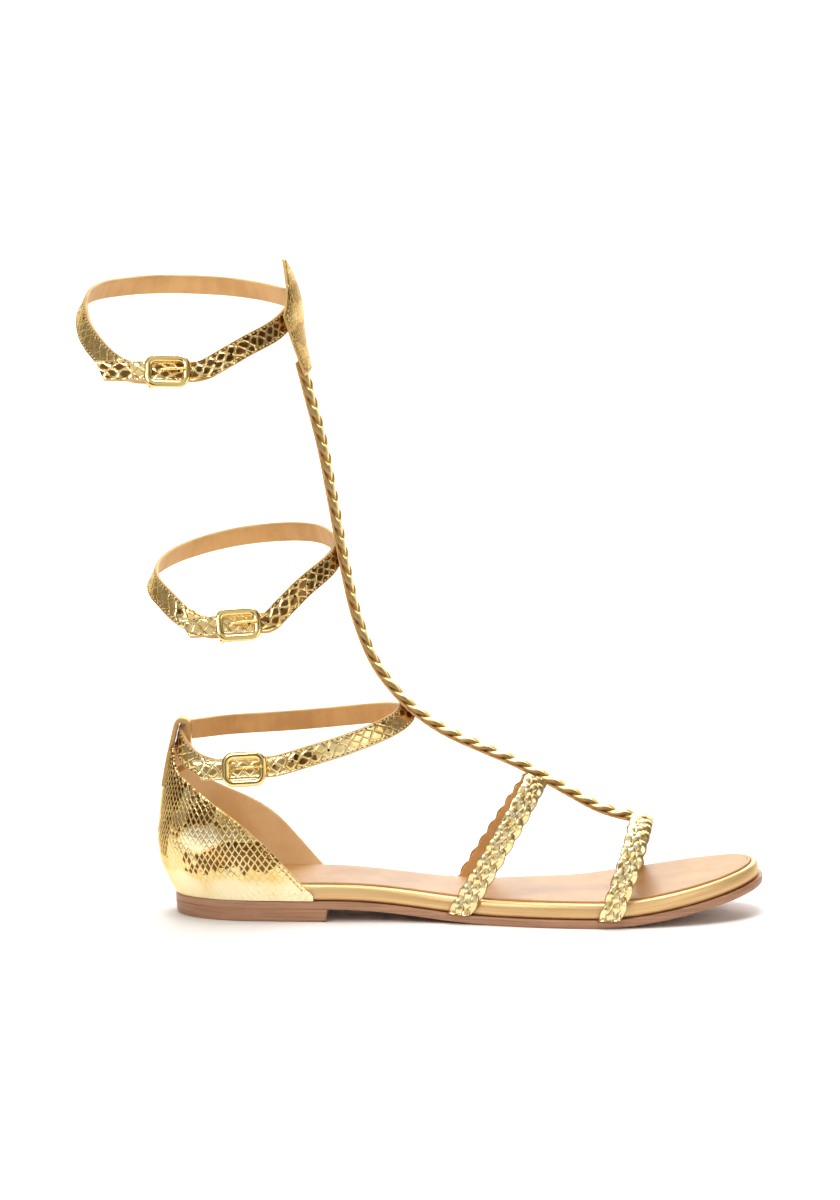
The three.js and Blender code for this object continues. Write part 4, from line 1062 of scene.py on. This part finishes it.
# Step between a lace's rings, and how sharply it turns back at the braid's edges, up to 1.
BRAID_STEP = 0.55
LACE_TURN = 0.96
# Depth, as a share of the half width, and pitch of the waves along a backing's edges.
SCALLOP_DEPTH = 0.075
SCALLOP_PITCH = 2.9


def rounded(value, power):
    return np.abs(value) ** power * np.where(value >= 0, 1, -1)


def braid(name, frame_at, length, width, strands, lobe, lace, thick, base, amplitude, replaces=()):
    """A flat plait of an odd number of laces on a tan backing strip.

    lobe is the pitch of its lobes, lace and thick are a lace's section, and base and amplitude say how high
    the laces lie and how far they rise and sink.
    """
    period = lobe * strands
    reach = (width - lace * 0.86) / 2
    distance = np.arange(0, length, BRAID_STEP)
    point, run, out, across = frame_at(distance)
    fade = np.clip(np.minimum(distance, length - distance) / 3, 0, 1)
    angles = np.linspace(0, 2 * math.pi, 14, endpoint=False)
    lace_form = np.column_stack(
        [lace / 2 * rounded(np.cos(angles), 0.75), thick / 2 * rounded(np.sin(angles), 0.6)]
    )
    shares = lace_form[:, 0] / lace
    shape = Shape()
    for k in range(strands):
        theta = 2 * math.pi * (distance / period + k / strands)
        aside = reach * np.arcsin(LACE_TURN * np.sin(theta)) / math.asin(LACE_TURN)
        rise = base + amplitude * np.sin((strands - 1) * theta) * fade
        centre = point + across * aside[:, None] + out * rise[:, None]
        tangent = unit(np.gradient(centre, axis=0))
        # At the edges a lace tips outwards.
        normal = out + across * (aside / reach)[:, None] * 0.2
        normal = unit(normal - tangent * np.sum(normal * tangent, axis=1, keepdims=True))
        rings = section(centre, np.cross(tangent, normal), normal, lace_form)
        shape.loft(above_sole(rings), v=np.r_[shares, shares[0]])
    shape.build(name, [FOIL], "braid", replaces)

    strip_half = width / 2 * 0.84
    template, _ = rounded_bar(strip_half, 0.5, 0.4, [(-strip_half / 2, 0), (0, 0), (strip_half / 2, 0)])
    scallop = 1 + SCALLOP_DEPTH * np.abs(np.sin(math.pi * distance / SCALLOP_PITCH))
    rings = []
    for k in range(len(distance)):
        t = np.array(template) * [scallop[k], 1]
        rings.append(point[k] + across[k] * t[:, :1] + out[k] * (t[:, 1:] - BRAID_WALL / 2 + 0.45))
    backing = Shape()
    backing.loft(above_sole(np.array(rings)))
    backing.build(name + "_backing", [LINING], "braid")


SPINE_TOP = spine_distance(SHAFT_HEIGHT - DIAMOND_HEIGHT) + 6


def make_braids():
    braid(
        "spine_braid",
        lambda d: spine_frame(np.maximum(d - 3, 0)),
        SPINE_TOP + 3,
        SPINE_WIDTH,
        strands=3,
        lobe=8.2,
        lace=5.2,
        thick=2.0,
        base=1.05,
        amplitude=0.8,
        replaces=["braided_upper"],
    )
    toe = Arch(TOE_STRAP_FEET, spine_frame(0)[0][0])
    join, _, join_out, _ = spine_frame(spine.length * INSTEP_STRAP_JOIN)
    instep = Arch(INSTEP_STRAP_FEET, join[0] - join_out[0] * BRAID_WALL * 0.6)
    plait = {"strands": 5, "lobe": 7.4, "lace": 3.7, "thick": 1.4, "base": 0.7, "amplitude": 0.8}
    for name, arch in (("toe_braid", toe), ("instep_braid", instep)):
        braid(name, arch.frame, arch.length, ARCH_WIDTH, **plait)


# Diamond patch

# Down from the tip, and half width as a share of the widest.
DIAMOND_FORM = [
    (0, 0.02),
    (0.12, 0.27),
    (0.24, 0.53),
    (0.36, 0.79),
    (0.45, 1),
    (0.6, 0.83),
    (0.8, mix(1, DIAMOND_FOOT_WIDTH / DIAMOND_WIDTH, 0.636)),
    (1, DIAMOND_FOOT_WIDTH / DIAMOND_WIDTH),
]


def diamond_frame():
    """How to find a point on the patch and its half width, and its length."""
    top, bottom = spine.length, spine_distance(SHAFT_HEIGHT - DIAMOND_HEIGHT)
    loop = STRAPS[2]
    radius = loop["side"] ** 2 / ((loop["back"] + spine_frame(top)[0][0, 0]) / 2)
    downs, halves = zip(*DIAMOND_FORM)

    def place(down, reach, depth):
        """A point on the patch: down from its tip, reach to the side in mm and depth above its inner face."""
        point, _, out, across = one(spine_frame(mix(top, bottom, down)))
        angle = reach / radius
        swell = PATCH_LIFT + depth - (radius + depth) * (1 - math.cos(angle))
        return point + across * (radius + depth) * math.sin(angle) + out * swell

    def half(down):
        return float(np.interp(down, downs, halves)) * DIAMOND_WIDTH / 2

    return place, half, top - bottom


def make_diamond():
    place, half, length = diamond_frame()
    rows, columns = 60, 18
    shape = Shape()
    rings, lengths = [], []
    for k in range(rows + 1):
        down = mix(0.004, 1, k / rows)
        reach = half(down)
        end = min(1, (1 - down) * length / 0.8, down * length / 0.8)
        face, back = [], []
        for i in range(columns + 1):
            share = -1 + 2 * i / columns
            side = reach * share
            margin = min(reach - abs(side), (1 - down) * length + 0.3)
            round_off = 0.5 * max(0, 1 - margin / 0.8) ** 2
            puff = 0.25 * min(1, max(0, margin - 2.2) / 4)
            groove = 0.16 * math.exp(-(((margin - 1.9) / 0.35) ** 2))
            thick = DIAMOND_WALL * (0.55 + 0.45 * end)
            face.append(place(down, side, thick - round_off + puff - groove))
            back.append(place(down, side, round_off))
        rings.append(face + back[::-1])
        lengths.append(down * length)
    n = len(rings[0])
    slots = [0] * columns + [2] + [1] * columns + [2]
    widths = np.linspace(-DIAMOND_WIDTH / 2, DIAMOND_WIDTH / 2, columns + 1)
    shape.loft(rings, slots, u=np.r_[lengths, lengths[-1]], v=np.r_[widths, widths[::-1], widths[0]])
    shape.build("diamond_shield", [SNAKE_PATCH, LINING, EDGE], "snake", ["diamond_patch"], sharp=60)


# Buckled straps


class Route:
    """A strap's closed route round the leg, from its buckle's hinge bar back round the heel."""

    def __init__(self, strap):
        point, _, out, _ = one(spine_frame(spine_distance(strap["join"])))
        front = point + out * strap["lift"]
        forward = unit(out * [1, 1, 0])
        outer = np.array([forward[1], -forward[0], 0])
        back = strap["back"] if strap["back"] is not None else slot_back()
        half = (front[0] + back) / 2 / forward[0]
        shift = strap["aside"] - front[1] + 2 * half * forward[1]
        drop = curve_of(strap["droop"])
        stations = 72
        turn = (strap["buckle"] + np.arange(stations) / stations) % 1
        angle = 2 * math.pi * turn
        behind = 1 - np.cos(angle)
        points = front - forward * (half * behind)[:, None]
        points += outer * (strap["side"] * np.sin(angle))[:, None]
        points[:, 1] += shift * behind / 2
        points[:, 2] -= drop(turn) * 2 * half
        reach = math.ceil(BUCKLE_LENGTH * stations / (2 * math.pi * half))
        first, last = points[stations - reach].copy(), points[1].copy()
        for i in range(1, reach + 1):
            points[(stations - reach + i) % stations] = mix(first, last, i / (reach + 1))
        self.curve = Spline(points, closed=True)
        self.length = self.curve.length
        self.strap = strap
        self.front_lean = math.degrees(math.asin(out[2]))
        self.middle, self.half = front[0] - half, half

    def frame(self, distance):
        point, run = self.curve.at(distance)
        flat = unit(np.cross(UP, run))
        rise = np.cross(run, flat)
        near = np.clip((point[:, 0] - self.middle) / self.half, 0, 1) ** 6
        lean = np.radians(mix(self.strap["lean"], self.front_lean, near))[:, None]
        out = flat * np.cos(lean) + rise * np.sin(lean)
        return point, run, out, np.cross(run, out)

    def beside(self, ahead, outwards):
        point, _, out, _ = one(self.frame(-ahead))
        return point + out * outwards


WRAP_RADIUS = HINGE_WIRE / 2 + SEAM + STRAP_WALL / 2
BILLET_RISE = STRAP_WALL + SEAM * 1.5
TOE_BAR_RISE = STRAP_WALL / 2 + 2 * SEAM + BUCKLE_WIRE / 2
KEEPER_RISE = BILLET_RISE + STRAP_WALL / 2 + 1.5 * SEAM + BUCKLE_WIRE / 2


def billet_rise(ahead):
    t = min(1, max(0, 1 - ahead / BUCKLE_LENGTH))
    return BILLET_RISE * t * t * (3 - 2 * t)


# Where the strap's plain run starts in its list of sections, after the fold and the wrap.
MAIN_SECTION = 16
# The middle of a strap's face in its section.
FACE_MIDDLE = (0, STRAP_WALL / 2 + 0.08)
# Bends that a buckled strap keeps, as distance behind the hinge bar and depth inwards.
STRAP_BENDS = [(11, 0.35), (19, -0.25), (31, 0.22), (-24, 0.22), (-33, -0.2)]


def bend_depth(distance, length):
    depth = 0
    for at, deep in STRAP_BENDS:
        gap = (distance - at + length / 2) % length - length / 2
        depth -= deep * math.exp(-((gap / 3.2) ** 2))
    return depth


def strap_sections(route):
    """The strap from fold to tail, as middle, outward and crosswise directions and slant of each section."""
    sections = []
    bar_point, bar_run, bar_out, bar_across = one(route.frame(0))
    centre = bar_point - bar_out * WRAP_RADIUS
    for back, depth in (
        (FOLD_LENGTH, STRAP_WALL + SEAM),
        (FOLD_LENGTH * 0.6, STRAP_WALL + SEAM),
        (FOLD_LENGTH * 0.3, WRAP_RADIUS * 1.7),
    ):
        point, _, out, across = one(route.frame(back))
        sections.append((point - out * depth, -out, across, 0))
    for i in range(13):
        angle = math.pi * (i / 12 - 0.5)
        outwards = bar_out * math.sin(angle) - bar_run * math.cos(angle)
        sections.append((centre + outwards * WRAP_RADIUS, unit(outwards), bar_across, 0))
    start, end = FOLD_LENGTH * 0.4, route.length - BUCKLE_LENGTH - 2
    for distance in np.linspace(start, end, 190):
        point, _, out, across = one(route.frame(distance))
        sections.append((point + out * bend_depth(distance, route.length), out, across, 0))
    for i in range(1, 25):
        ahead = mix(BUCKLE_LENGTH + 2, 0, i / 24)
        _, _, out, across = one(route.frame(-ahead))
        sections.append((route.beside(ahead, billet_rise(ahead)), out, across, 0))
    last_point, last_out, last_across, _ = sections[-1]
    flare = unit(bar_run + bar_out * TAIL_FLARE)
    tail = route.strap["tail"]
    for i in range(1, 13):
        t = i / 12
        slant = TAIL_SLANT * max(0, (t - 0.5) / 0.5)
        curl = last_out * 0.5 * t**2
        sections.append((last_point + flare * tail * t + curl, last_out, last_across, slant))
    return sections, flare


def cylinder(point, run, out, radius, stretch, depths=(-1.5, 1.5), sides=24):
    """Two rings of a hole between two depths, as shares of the strap's wall."""
    beside = np.cross(run, out)
    rings = []
    for depth in (depths[0] * STRAP_WALL, depths[1] * STRAP_WALL):
        angles = np.linspace(0, 2 * math.pi, sides, endpoint=False)
        ring = point + out * depth + run * (np.cos(angles) * radius * stretch)[:, None]
        rings.append(ring + beside * (np.sin(angles) * radius)[:, None])
    return np.array(rings)


def box_rings(origin, axes, low, high):
    """Two rings of a box between two corners in its own axes."""
    rings = []
    for x in (low[0], high[0]):
        corners = [(low[1], low[2]), (high[1], low[2]), (high[1], high[2]), (low[1], high[2])]
        rings.append([origin + axes[0] * x + axes[1] * y + axes[2] * z for y, z in corners])
    return np.array(rings)


def buckle_axes(route, rise):
    """A point over the hinge bar, directions ahead, aside and out, and the distance to the toe bar."""
    _, _, out, across = one(route.frame(0))
    heel = route.beside(0, rise)
    toe = route.beside(BUCKLE_LENGTH - BUCKLE_WIRE, TOE_BAR_RISE)
    along = unit(toe - heel)
    side = unit(across - along * across.dot(along))
    face = np.cross(side, along)
    if face.dot(out) < 0:
        face = -face
    return heel, along, side, face, float(np.linalg.norm(toe - heel))


def cut(obj, cutters):
    """Takes the cutters' solids out of an object's mesh."""
    shape = Shape()
    for rings in cutters:
        shape.loft(rings)
    mesh = bpy.data.meshes.new("cutter")
    mesh.from_pydata((np.vstack(shape.points) * MM).tolist(), [], shape.faces)
    for made in obj.data.materials:
        mesh.materials.append(made)
    # The cut walls take the object's last material, which on the straps is the painted shade of the holes.
    mesh.polygons.foreach_set("material_index", [len(obj.data.materials) - 1] * len(mesh.polygons))
    tool = bpy.data.objects.new("cutter", mesh)
    bpy.context.scene.collection.objects.link(tool)
    clean = bmesh.new()
    clean.from_mesh(mesh)
    bmesh.ops.recalc_face_normals(clean, faces=clean.faces)
    clean.to_mesh(mesh)
    clean.free()
    modifier = obj.modifiers.new("holes", "BOOLEAN")
    modifier.operation = "DIFFERENCE"
    modifier.solver = "EXACT"
    modifier.use_self = True
    modifier.object = tool
    evaluated = obj.evaluated_get(bpy.context.evaluated_depsgraph_get())
    obj.data = bpy.data.meshes.new_from_object(evaluated)
    obj.modifiers.clear()
    bpy.data.objects.remove(tool)


def strap_leather(strap, route):
    # The dark zones add brown scales: partly print, partly painted reflection of dark surroundings.
    zones = [(share * route.length, 0, long, 8, 0, weight) for share, long, weight in strap["dark"]]
    return snake_leather(
        f"snake_{strap['name']}",
        (2.8, 2.6),
        strap["share"],
        shift=1.3,
        zones=zones,
        patch=16,
        strokes=0.15,
        edge_rows=2.6,
        flat=0.55,
    )


# Places across a strap's face and its rise there: a groove for each seam and a low crown between them.
STRAP_FACE = [
    (-4, 0), (-3.8, 0), (-3.5, -0.13), (-3.2, 0), (-1.5, 0.06), (0, 0.08),
    (1.5, 0.06), (3.2, 0), (3.5, -0.13), (3.8, 0), (4, 0),
]
# Depths between which a small hole is cut, from the back and from the face; the fibres close it half way.
HOLE_DEPTHS = ((-1.5, -0.12), (0.12, 1.5))


def strap_cutters(route):
    """The prong's slot in the fold, its hole in the tail and the small holes ahead of it."""
    hinge, along, side, face, _ = buckle_axes(route, -WRAP_RADIUS)
    slot_half = (PRONG_WIRE + 3 * SEAM) / 2
    behind = HINGE_WIRE / 2 + PRONG_WIRE + 2 * SEAM
    low = (-behind, -slot_half, -WRAP_RADIUS - STRAP_WALL)
    high = (WRAP_RADIUS + STRAP_WALL, slot_half, WRAP_RADIUS + STRAP_WALL / 2 + SEAM / 2)
    cutters = [box_rings(hinge, (along, side, face), low, high)]
    for i in range(HOLES_IN_FRONT + 1):
        ahead = PRONG_HOLE_AHEAD + i * HOLE_SPACING
        _, run, out, _ = one(route.frame(-ahead))
        point = route.beside(ahead, billet_rise(ahead))
        if i == 0:
            cutters.append(cylinder(point, run, out, HOLE_RADIUS, PRONG_HOLE_STRETCH))
            continue
        for depths in HOLE_DEPTHS:
            cutters.append(cylinder(point, run, out, HOLE_RADIUS, 1, depths))
    return cutters


def strap_seams(route, sections, flare):
    """The lines of stitches along both edges of a strap and of its tail."""
    for edge in (-1, 1):
        places = []
        for distance in np.arange(FOLD_LENGTH * 0.8, route.length - BUCKLE_LENGTH - 4, 0.6):
            point, _, out, across = one(route.frame(distance))
            lift = STRAP_WALL / 2 + bend_depth(distance, route.length)
            places.append((point + across * SEAM_ASIDE * edge + out * lift, out))
        SEWN.append(places)
        tail = []
        for point, out, across, slant in sections[-12:-1]:
            beside = (across + flare * slant) * SEAM_ASIDE * edge
            tail.append((point + beside + out * STRAP_WALL / 2, out))
        SEWN.append(tail)


def make_strap(strap):
    route = Route(strap)
    leather = strap_leather(strap, route)
    sections, flare = strap_sections(route)
    template, zones = rounded_bar(STRAP_WIDTH / 2, STRAP_WALL / 2, 0.45, STRAP_FACE)
    t = np.array(template)
    rings = []
    for k, (point, out, across, slant) in enumerate(sections):
        # The folded end is narrower than the strap.
        width = mix(0.74, 1, min(1, max(0, k - 2) / (MAIN_SECTION - 3)))
        ring = point + across * t[:, :1] * width + out * t[:, 1:]
        rings.append(ring + flare * t[:, :1] * slant)
    # UVs: along from the hinge bar, and aside from the face's middle line.
    along = distances(np.array([ring.mean(0) for ring in rings]))
    along += FOLD_LENGTH * 0.4 - along[MAIN_SECTION]
    aside = distances(t[[*range(len(t)), 0]])
    aside -= aside[template.index(FACE_MIDDLE)]
    shape = Shape()
    shape.loft(rings, [(0, 2, 1)[z] for z in zones], u=np.r_[along, along[-1]], v=aside)
    name = strap["name"]
    obj = shape.build(f"{name}_strap_leather", [leather, LINING, EDGE, HOLE_SHADE], "snake", [f"{name}_strap"])
    cut(obj, strap_cutters(route))
    obj.data.set_sharp_from_angle(angle=math.radians(45))
    make_buckle(name, route)
    make_prong(name, route)
    strap_seams(route, sections, flare)


def wire_rings(points, normal, diameter, sides, closed=False, squash=1.0):
    """Rings of a wire along points; squash flattens it along the normal."""
    points = np.array(points)
    if closed:
        run = unit(np.roll(points, -1, axis=0) - np.roll(points, 1, axis=0))
    else:
        run = unit(np.gradient(points, axis=0))
    beside = unit(np.cross(run, normal))
    angles = 2 * math.pi * (np.arange(sides) + 0.5) / sides
    width = np.broadcast_to(diameter, len(points))[:, None, None] / 2
    ring = beside[:, None] * np.cos(angles)[None, :, None] + normal * np.sin(angles)[None, :, None] * squash
    return points[:, None] + ring * width


def make_buckle(name, route):
    """The frame in front of the strap, and the hinge bar in its fold with an arm to each of its sides."""
    half = STRAP_WIDTH / 2 + SEAM * 1.5 + BUCKLE_WIRE / 2
    heel, along, side, face, length = buckle_axes(route, KEEPER_RISE)
    drop = side * math.copysign(FRAME_DROP, -side[2])
    points = []
    for end, edge, start in ((length, 1, 0), (0, 1, 90), (0, -1, 180), (length, -1, 270)):
        for turn in np.linspace(0, 90, 9):
            angle = math.radians(start + turn)
            ahead = end + FRAME_CORNER * (math.cos(angle) - (1 if end > 0 else -1))
            across = edge * (half - FRAME_CORNER) + FRAME_CORNER * math.sin(angle)
            points.append(heel + drop + along * ahead + side * across)
    ring = Shape()
    ring.loft(wire_rings(points, face, FRAME_BREADTH, 18, closed=True, squash=FRAME_FLATNESS), closed=True)
    bar = route.beside(0, -WRAP_RADIUS)
    arm = heel + along * HINGE_ARM_AHEAD - bar
    ends = [bar + arm + drop + side * half * edge for edge in (1, -1)]
    arm = unit(arm)
    hinge = []
    for edge, turns in ((1, np.linspace(0, 90, 7)), (-1, np.linspace(90, 0, 7))):
        for angle in np.radians(turns):
            aside = half - HINGE_CORNER + HINGE_CORNER * math.cos(angle)
            hinge.append(bar + side * edge * aside + arm * HINGE_CORNER * (1 - math.sin(angle)))
    ring.loft(wire_rings([ends[0], *hinge, ends[1]], np.cross(arm, side), HINGE_WIRE, 14))
    ring.build(f"{name}_buckle_frame", [METAL], "metal", [f"{name}_buckle"])


def make_prong(name, route):
    """The prong: hooked round the hinge bar, through the tail's hole and onto the toe bar."""
    hinge, along, side, face, length = buckle_axes(route, -WRAP_RADIUS)
    clear = (HINGE_WIRE + PRONG_WIRE) / 2 + SEAM
    rest = (BUCKLE_WIRE + PRONG_WIRE) / 2 + SEAM
    turns = [math.radians(turn) for turn in PRONG_HOOK_TURNS]
    places = [(clear * math.cos(a), clear * math.sin(a)) for a in turns]
    places += [*PRONG_FORM, (length - 1.2 * BUCKLE_WIRE, rest + SEAM), (length + 0.45 * BUCKLE_WIRE, rest)]
    curve = Spline([hinge + along * ahead + face * up for ahead, up in places])
    distance = np.linspace(0, curve.length, 60)
    ends = np.minimum(distance, curve.length - distance)
    taper = np.sqrt(np.clip(1 - (1 - np.clip(ends / 0.55, 0, 1)) ** 2, 0.02, 1))
    slim = mix(1.0, 0.86, distance / curve.length)
    pin = Shape()
    pin.loft(wire_rings(curve.at(distance)[0], side, PRONG_WIRE * taper * slim, 14))
    pin.build(f"{name}_buckle_prong", [METAL], "metal", [f"{name}_prong"])


# Stitches

SEWN = []
STITCH_PITCH = 2.3
SEAM_ASIDE = 3.5
STITCH_LENGTH = 1.5
STITCH_RADIUS = 0.26
NEEDLE_RADIUS = 0.34


def sew(name, lines):
    """Stitches with needle holes between them, each hole a small dark dot of painted shade, along lines of
    points with their outward directions.
    """
    shape = Shape()
    angles = np.linspace(0, 2 * math.pi, 8, endpoint=False)
    for line in lines:
        points = np.array([point for point, _ in line])
        outs = np.array([out for _, out in line])
        if len(points) < 3:
            continue
        lengths = distances(points)
        read = lambda s, values: np.array([np.interp(s, lengths, values[:, i]) for i in range(3)])
        for start in np.arange(STITCH_PITCH / 2, lengths[-1] - STITCH_PITCH, STITCH_PITCH):
            centre, out = read(start, points), unit(read(start, outs))
            run = unit(read(start + 0.3, points) - read(start - 0.3, points))
            beside = unit(np.cross(run, out))
            rings = []
            for share in np.linspace(-1, 1, 7):
                width = STITCH_RADIUS * math.sqrt(max(0.04, 1 - share**4))
                sink = -0.05 - 0.28 * share**2
                middle = centre + run * share * STITCH_LENGTH / 2 + out * sink
                ring = beside * (np.cos(angles) * width)[:, None] + out * (np.sin(angles) * width)[:, None]
                rings.append(middle + ring)
            shape.loft(rings)
            # A needle hole: a small dark dot of painted shade.
            hole = centre + run * STITCH_PITCH / 2 - out * 0.1
            shade_dots = []
            for share in np.linspace(-1, 1, 4):
                width = NEEDLE_RADIUS * math.sqrt(max(0.05, 1 - share**2))
                ring = run * (np.cos(angles) * width * 1.5)[:, None]
                ring += beside * (np.sin(angles) * width)[:, None]
                shade_dots.append(hole + out * share * 0.2 + ring)
            shape.loft(shade_dots, 1)
    shape.build(name, [THREAD, HOLE_SHADE], "snake")


def collar_line(side):
    """The seam that runs along the collar's edge."""
    line = []
    for share in np.linspace(0.1, 0.96, 150):
        turn = side * share
        rise = collar_rise(turn) - 1.9 / COUNTER_HEIGHT
        if rise < 0.04:
            break
        here = counter_point(turn, rise, crease_depth(turn, rise))
        inner = counter_point(turn, rise, COUNTER_WALL)
        line.append((here + unit(here - inner) * 0.02, unit(here - inner)))
    return line


def diamond_lines():
    """The seams down both sides of the patch and across its foot."""
    place, half, length = diamond_frame()
    lines = []
    for side in (-1, 1):
        line = []
        for down in np.linspace(0.12, 0.96, 120):
            reach = half(down) - 2.1
            here = place(down, side * reach, DIAMOND_WALL - 0.1)
            line.append((here, unit(here - place(down, side * reach, 0))))
        lines.append(line)
    bottom = [
        (place(0.96, reach, DIAMOND_WALL - 0.1), unit(place(0.96, reach, 1) - place(0.96, reach, 0)))
        for reach in np.linspace(-half(0.96) + 2.1, half(0.96) - 2.1, 30)
    ]
    lines.append(bottom)
    return lines


# Stage


def make_stage():
    """A pale floor that curves up behind, soft lamps and the camera at the photograph's angle."""
    floor, g = material("pale_floor", 0.6)
    fine = g.noise(g.place(0.02), 1.0, 3)
    g.shade("Base Color", g.blend(fine, (0.955, 0.95, 0.94, 1), (0.93, 0.925, 0.915, 1)))
    mesh = bpy.data.meshes.new("floor")
    reach, back, radius = 4.0, 2.4, 1.2
    profile = [(-4.0, 0.0), (back, 0.0)]
    for step in range(1, 17):
        angle = math.pi / 2 * step / 16
        profile.append((back + radius * math.sin(angle), radius * (1 - math.cos(angle))))
    profile.append((back + radius, 5.0))
    points = [(x, y, z) for y, z in profile for x in (-reach, reach)]
    faces = [(2 * k, 2 * k + 1, 2 * k + 3, 2 * k + 2) for k in range(len(profile) - 1)]
    mesh.from_pydata(points, [], faces)
    mesh.materials.append(floor)
    mesh.polygons.foreach_set("use_smooth", [True] * len(faces))
    obj = bpy.data.objects.new("floor", mesh)
    bpy.context.scene.collection.objects.link(obj)

    for name, place, size, power, colour in (
        ("key", (-0.9, -1.3, 1.5), 0.7, 13, (1, 0.985, 0.96)),
        ("fill", (1.5, -1.2, 0.9), 1.1, 5, (1, 0.99, 0.97)),
        ("top", (0.1, 0.2, 1.9), 0.9, 23, (1, 1, 1)),
        ("lace_edge_shade", (0.4, 1.5, 0.9), 0.9, 7, (1, 0.98, 0.95)),
        ("wall", (0.1, 1.9, 2.6), 1.6, 90, (1, 1, 1)),
    ):
        light = bpy.data.lights.new(name, "AREA")
        light.shape = "SQUARE"
        light.size = size
        light.energy = power
        light.color = colour
        lamp = bpy.data.objects.new(name, light)
        bpy.context.scene.collection.objects.link(lamp)
        lamp.location = place
        aim = Vector((0.1, 3.5, 1.2)) if name == "wall" else Vector((0.07, 0, 0.13))
        lamp.rotation_euler = (aim - Vector(place)).to_track_quat("-Z", "Y").to_euler()

    bpy.context.scene.view_settings.view_transform = "Standard"
    world = bpy.data.worlds.new("studio")
    bpy.context.scene.world = world
    world.use_nodes = True
    w = Graph(world.node_tree)
    background = world.node_tree.nodes["Background"]
    direction = w.add("ShaderNodeTexCoord", output="Generated")
    panels = w.noise(direction, 2.3, 0, 0.5)
    sideways = w.math("ABSOLUTE", w.part(direction, "X"))
    sideways = w.times(w.smooth(sideways, 0.55, 0.85), 0.8)
    dim = w.math("MAXIMUM", w.smooth(panels, 0.54, 0.44), sideways)
    sky = w.blend(dim, (1.0, 1.0, 1.0, 1), (0.22, 0.15, 0.075, 1))
    w.put(background.inputs["Color"], sky)
    background.inputs["Strength"].default_value = 0.66

    yaw, pitch = math.radians(2), math.radians(7)
    towards = Vector((-math.sin(yaw) * math.cos(pitch), math.cos(yaw) * math.cos(pitch), -math.sin(pitch)))
    target = Vector((0.09, 0, 0.13))
    lens = bpy.data.cameras.new("camera")
    camera = bpy.data.objects.new("camera", lens)
    bpy.context.scene.collection.objects.link(camera)
    camera.location = target - towards * CAMERA_DISTANCE
    camera.rotation_euler = towards.to_track_quat("-Z", "Y").to_euler()
    # The sensor's width covers the long side of the picture, its height.
    lens.sensor_width = SENSOR_WIDTH
    lens.lens = SENSOR_WIDTH * CAMERA_DISTANCE / (FRAME_WIDTH * PICTURE_HEIGHT / PICTURE_WIDTH)
    lens.shift_x, lens.shift_y = CAMERA_SHIFT
    lens.clip_start, lens.clip_end = 0.1, 20
    bpy.context.scene.camera = camera


CAMERA_DISTANCE = 2.5
CAMERA_SHIFT = (-0.035, 0.01)
SENSOR_WIDTH = 36
# Width in metres that the picture covers at the shoe, and the photograph's size in pixels.
FRAME_WIDTH = 0.36
PICTURE_WIDTH, PICTURE_HEIGHT = 840, 1200

make_heel_lift()
make_outsole()
make_footbed()
make_insole()
make_counter()
make_tab()
make_braids()
make_diamond()
for strap in STRAPS:
    make_strap(strap)
SEWN.extend([collar_line(-1), collar_line(1), *diamond_lines()])
sew("edge_stitches", SEWN)
make_stage()
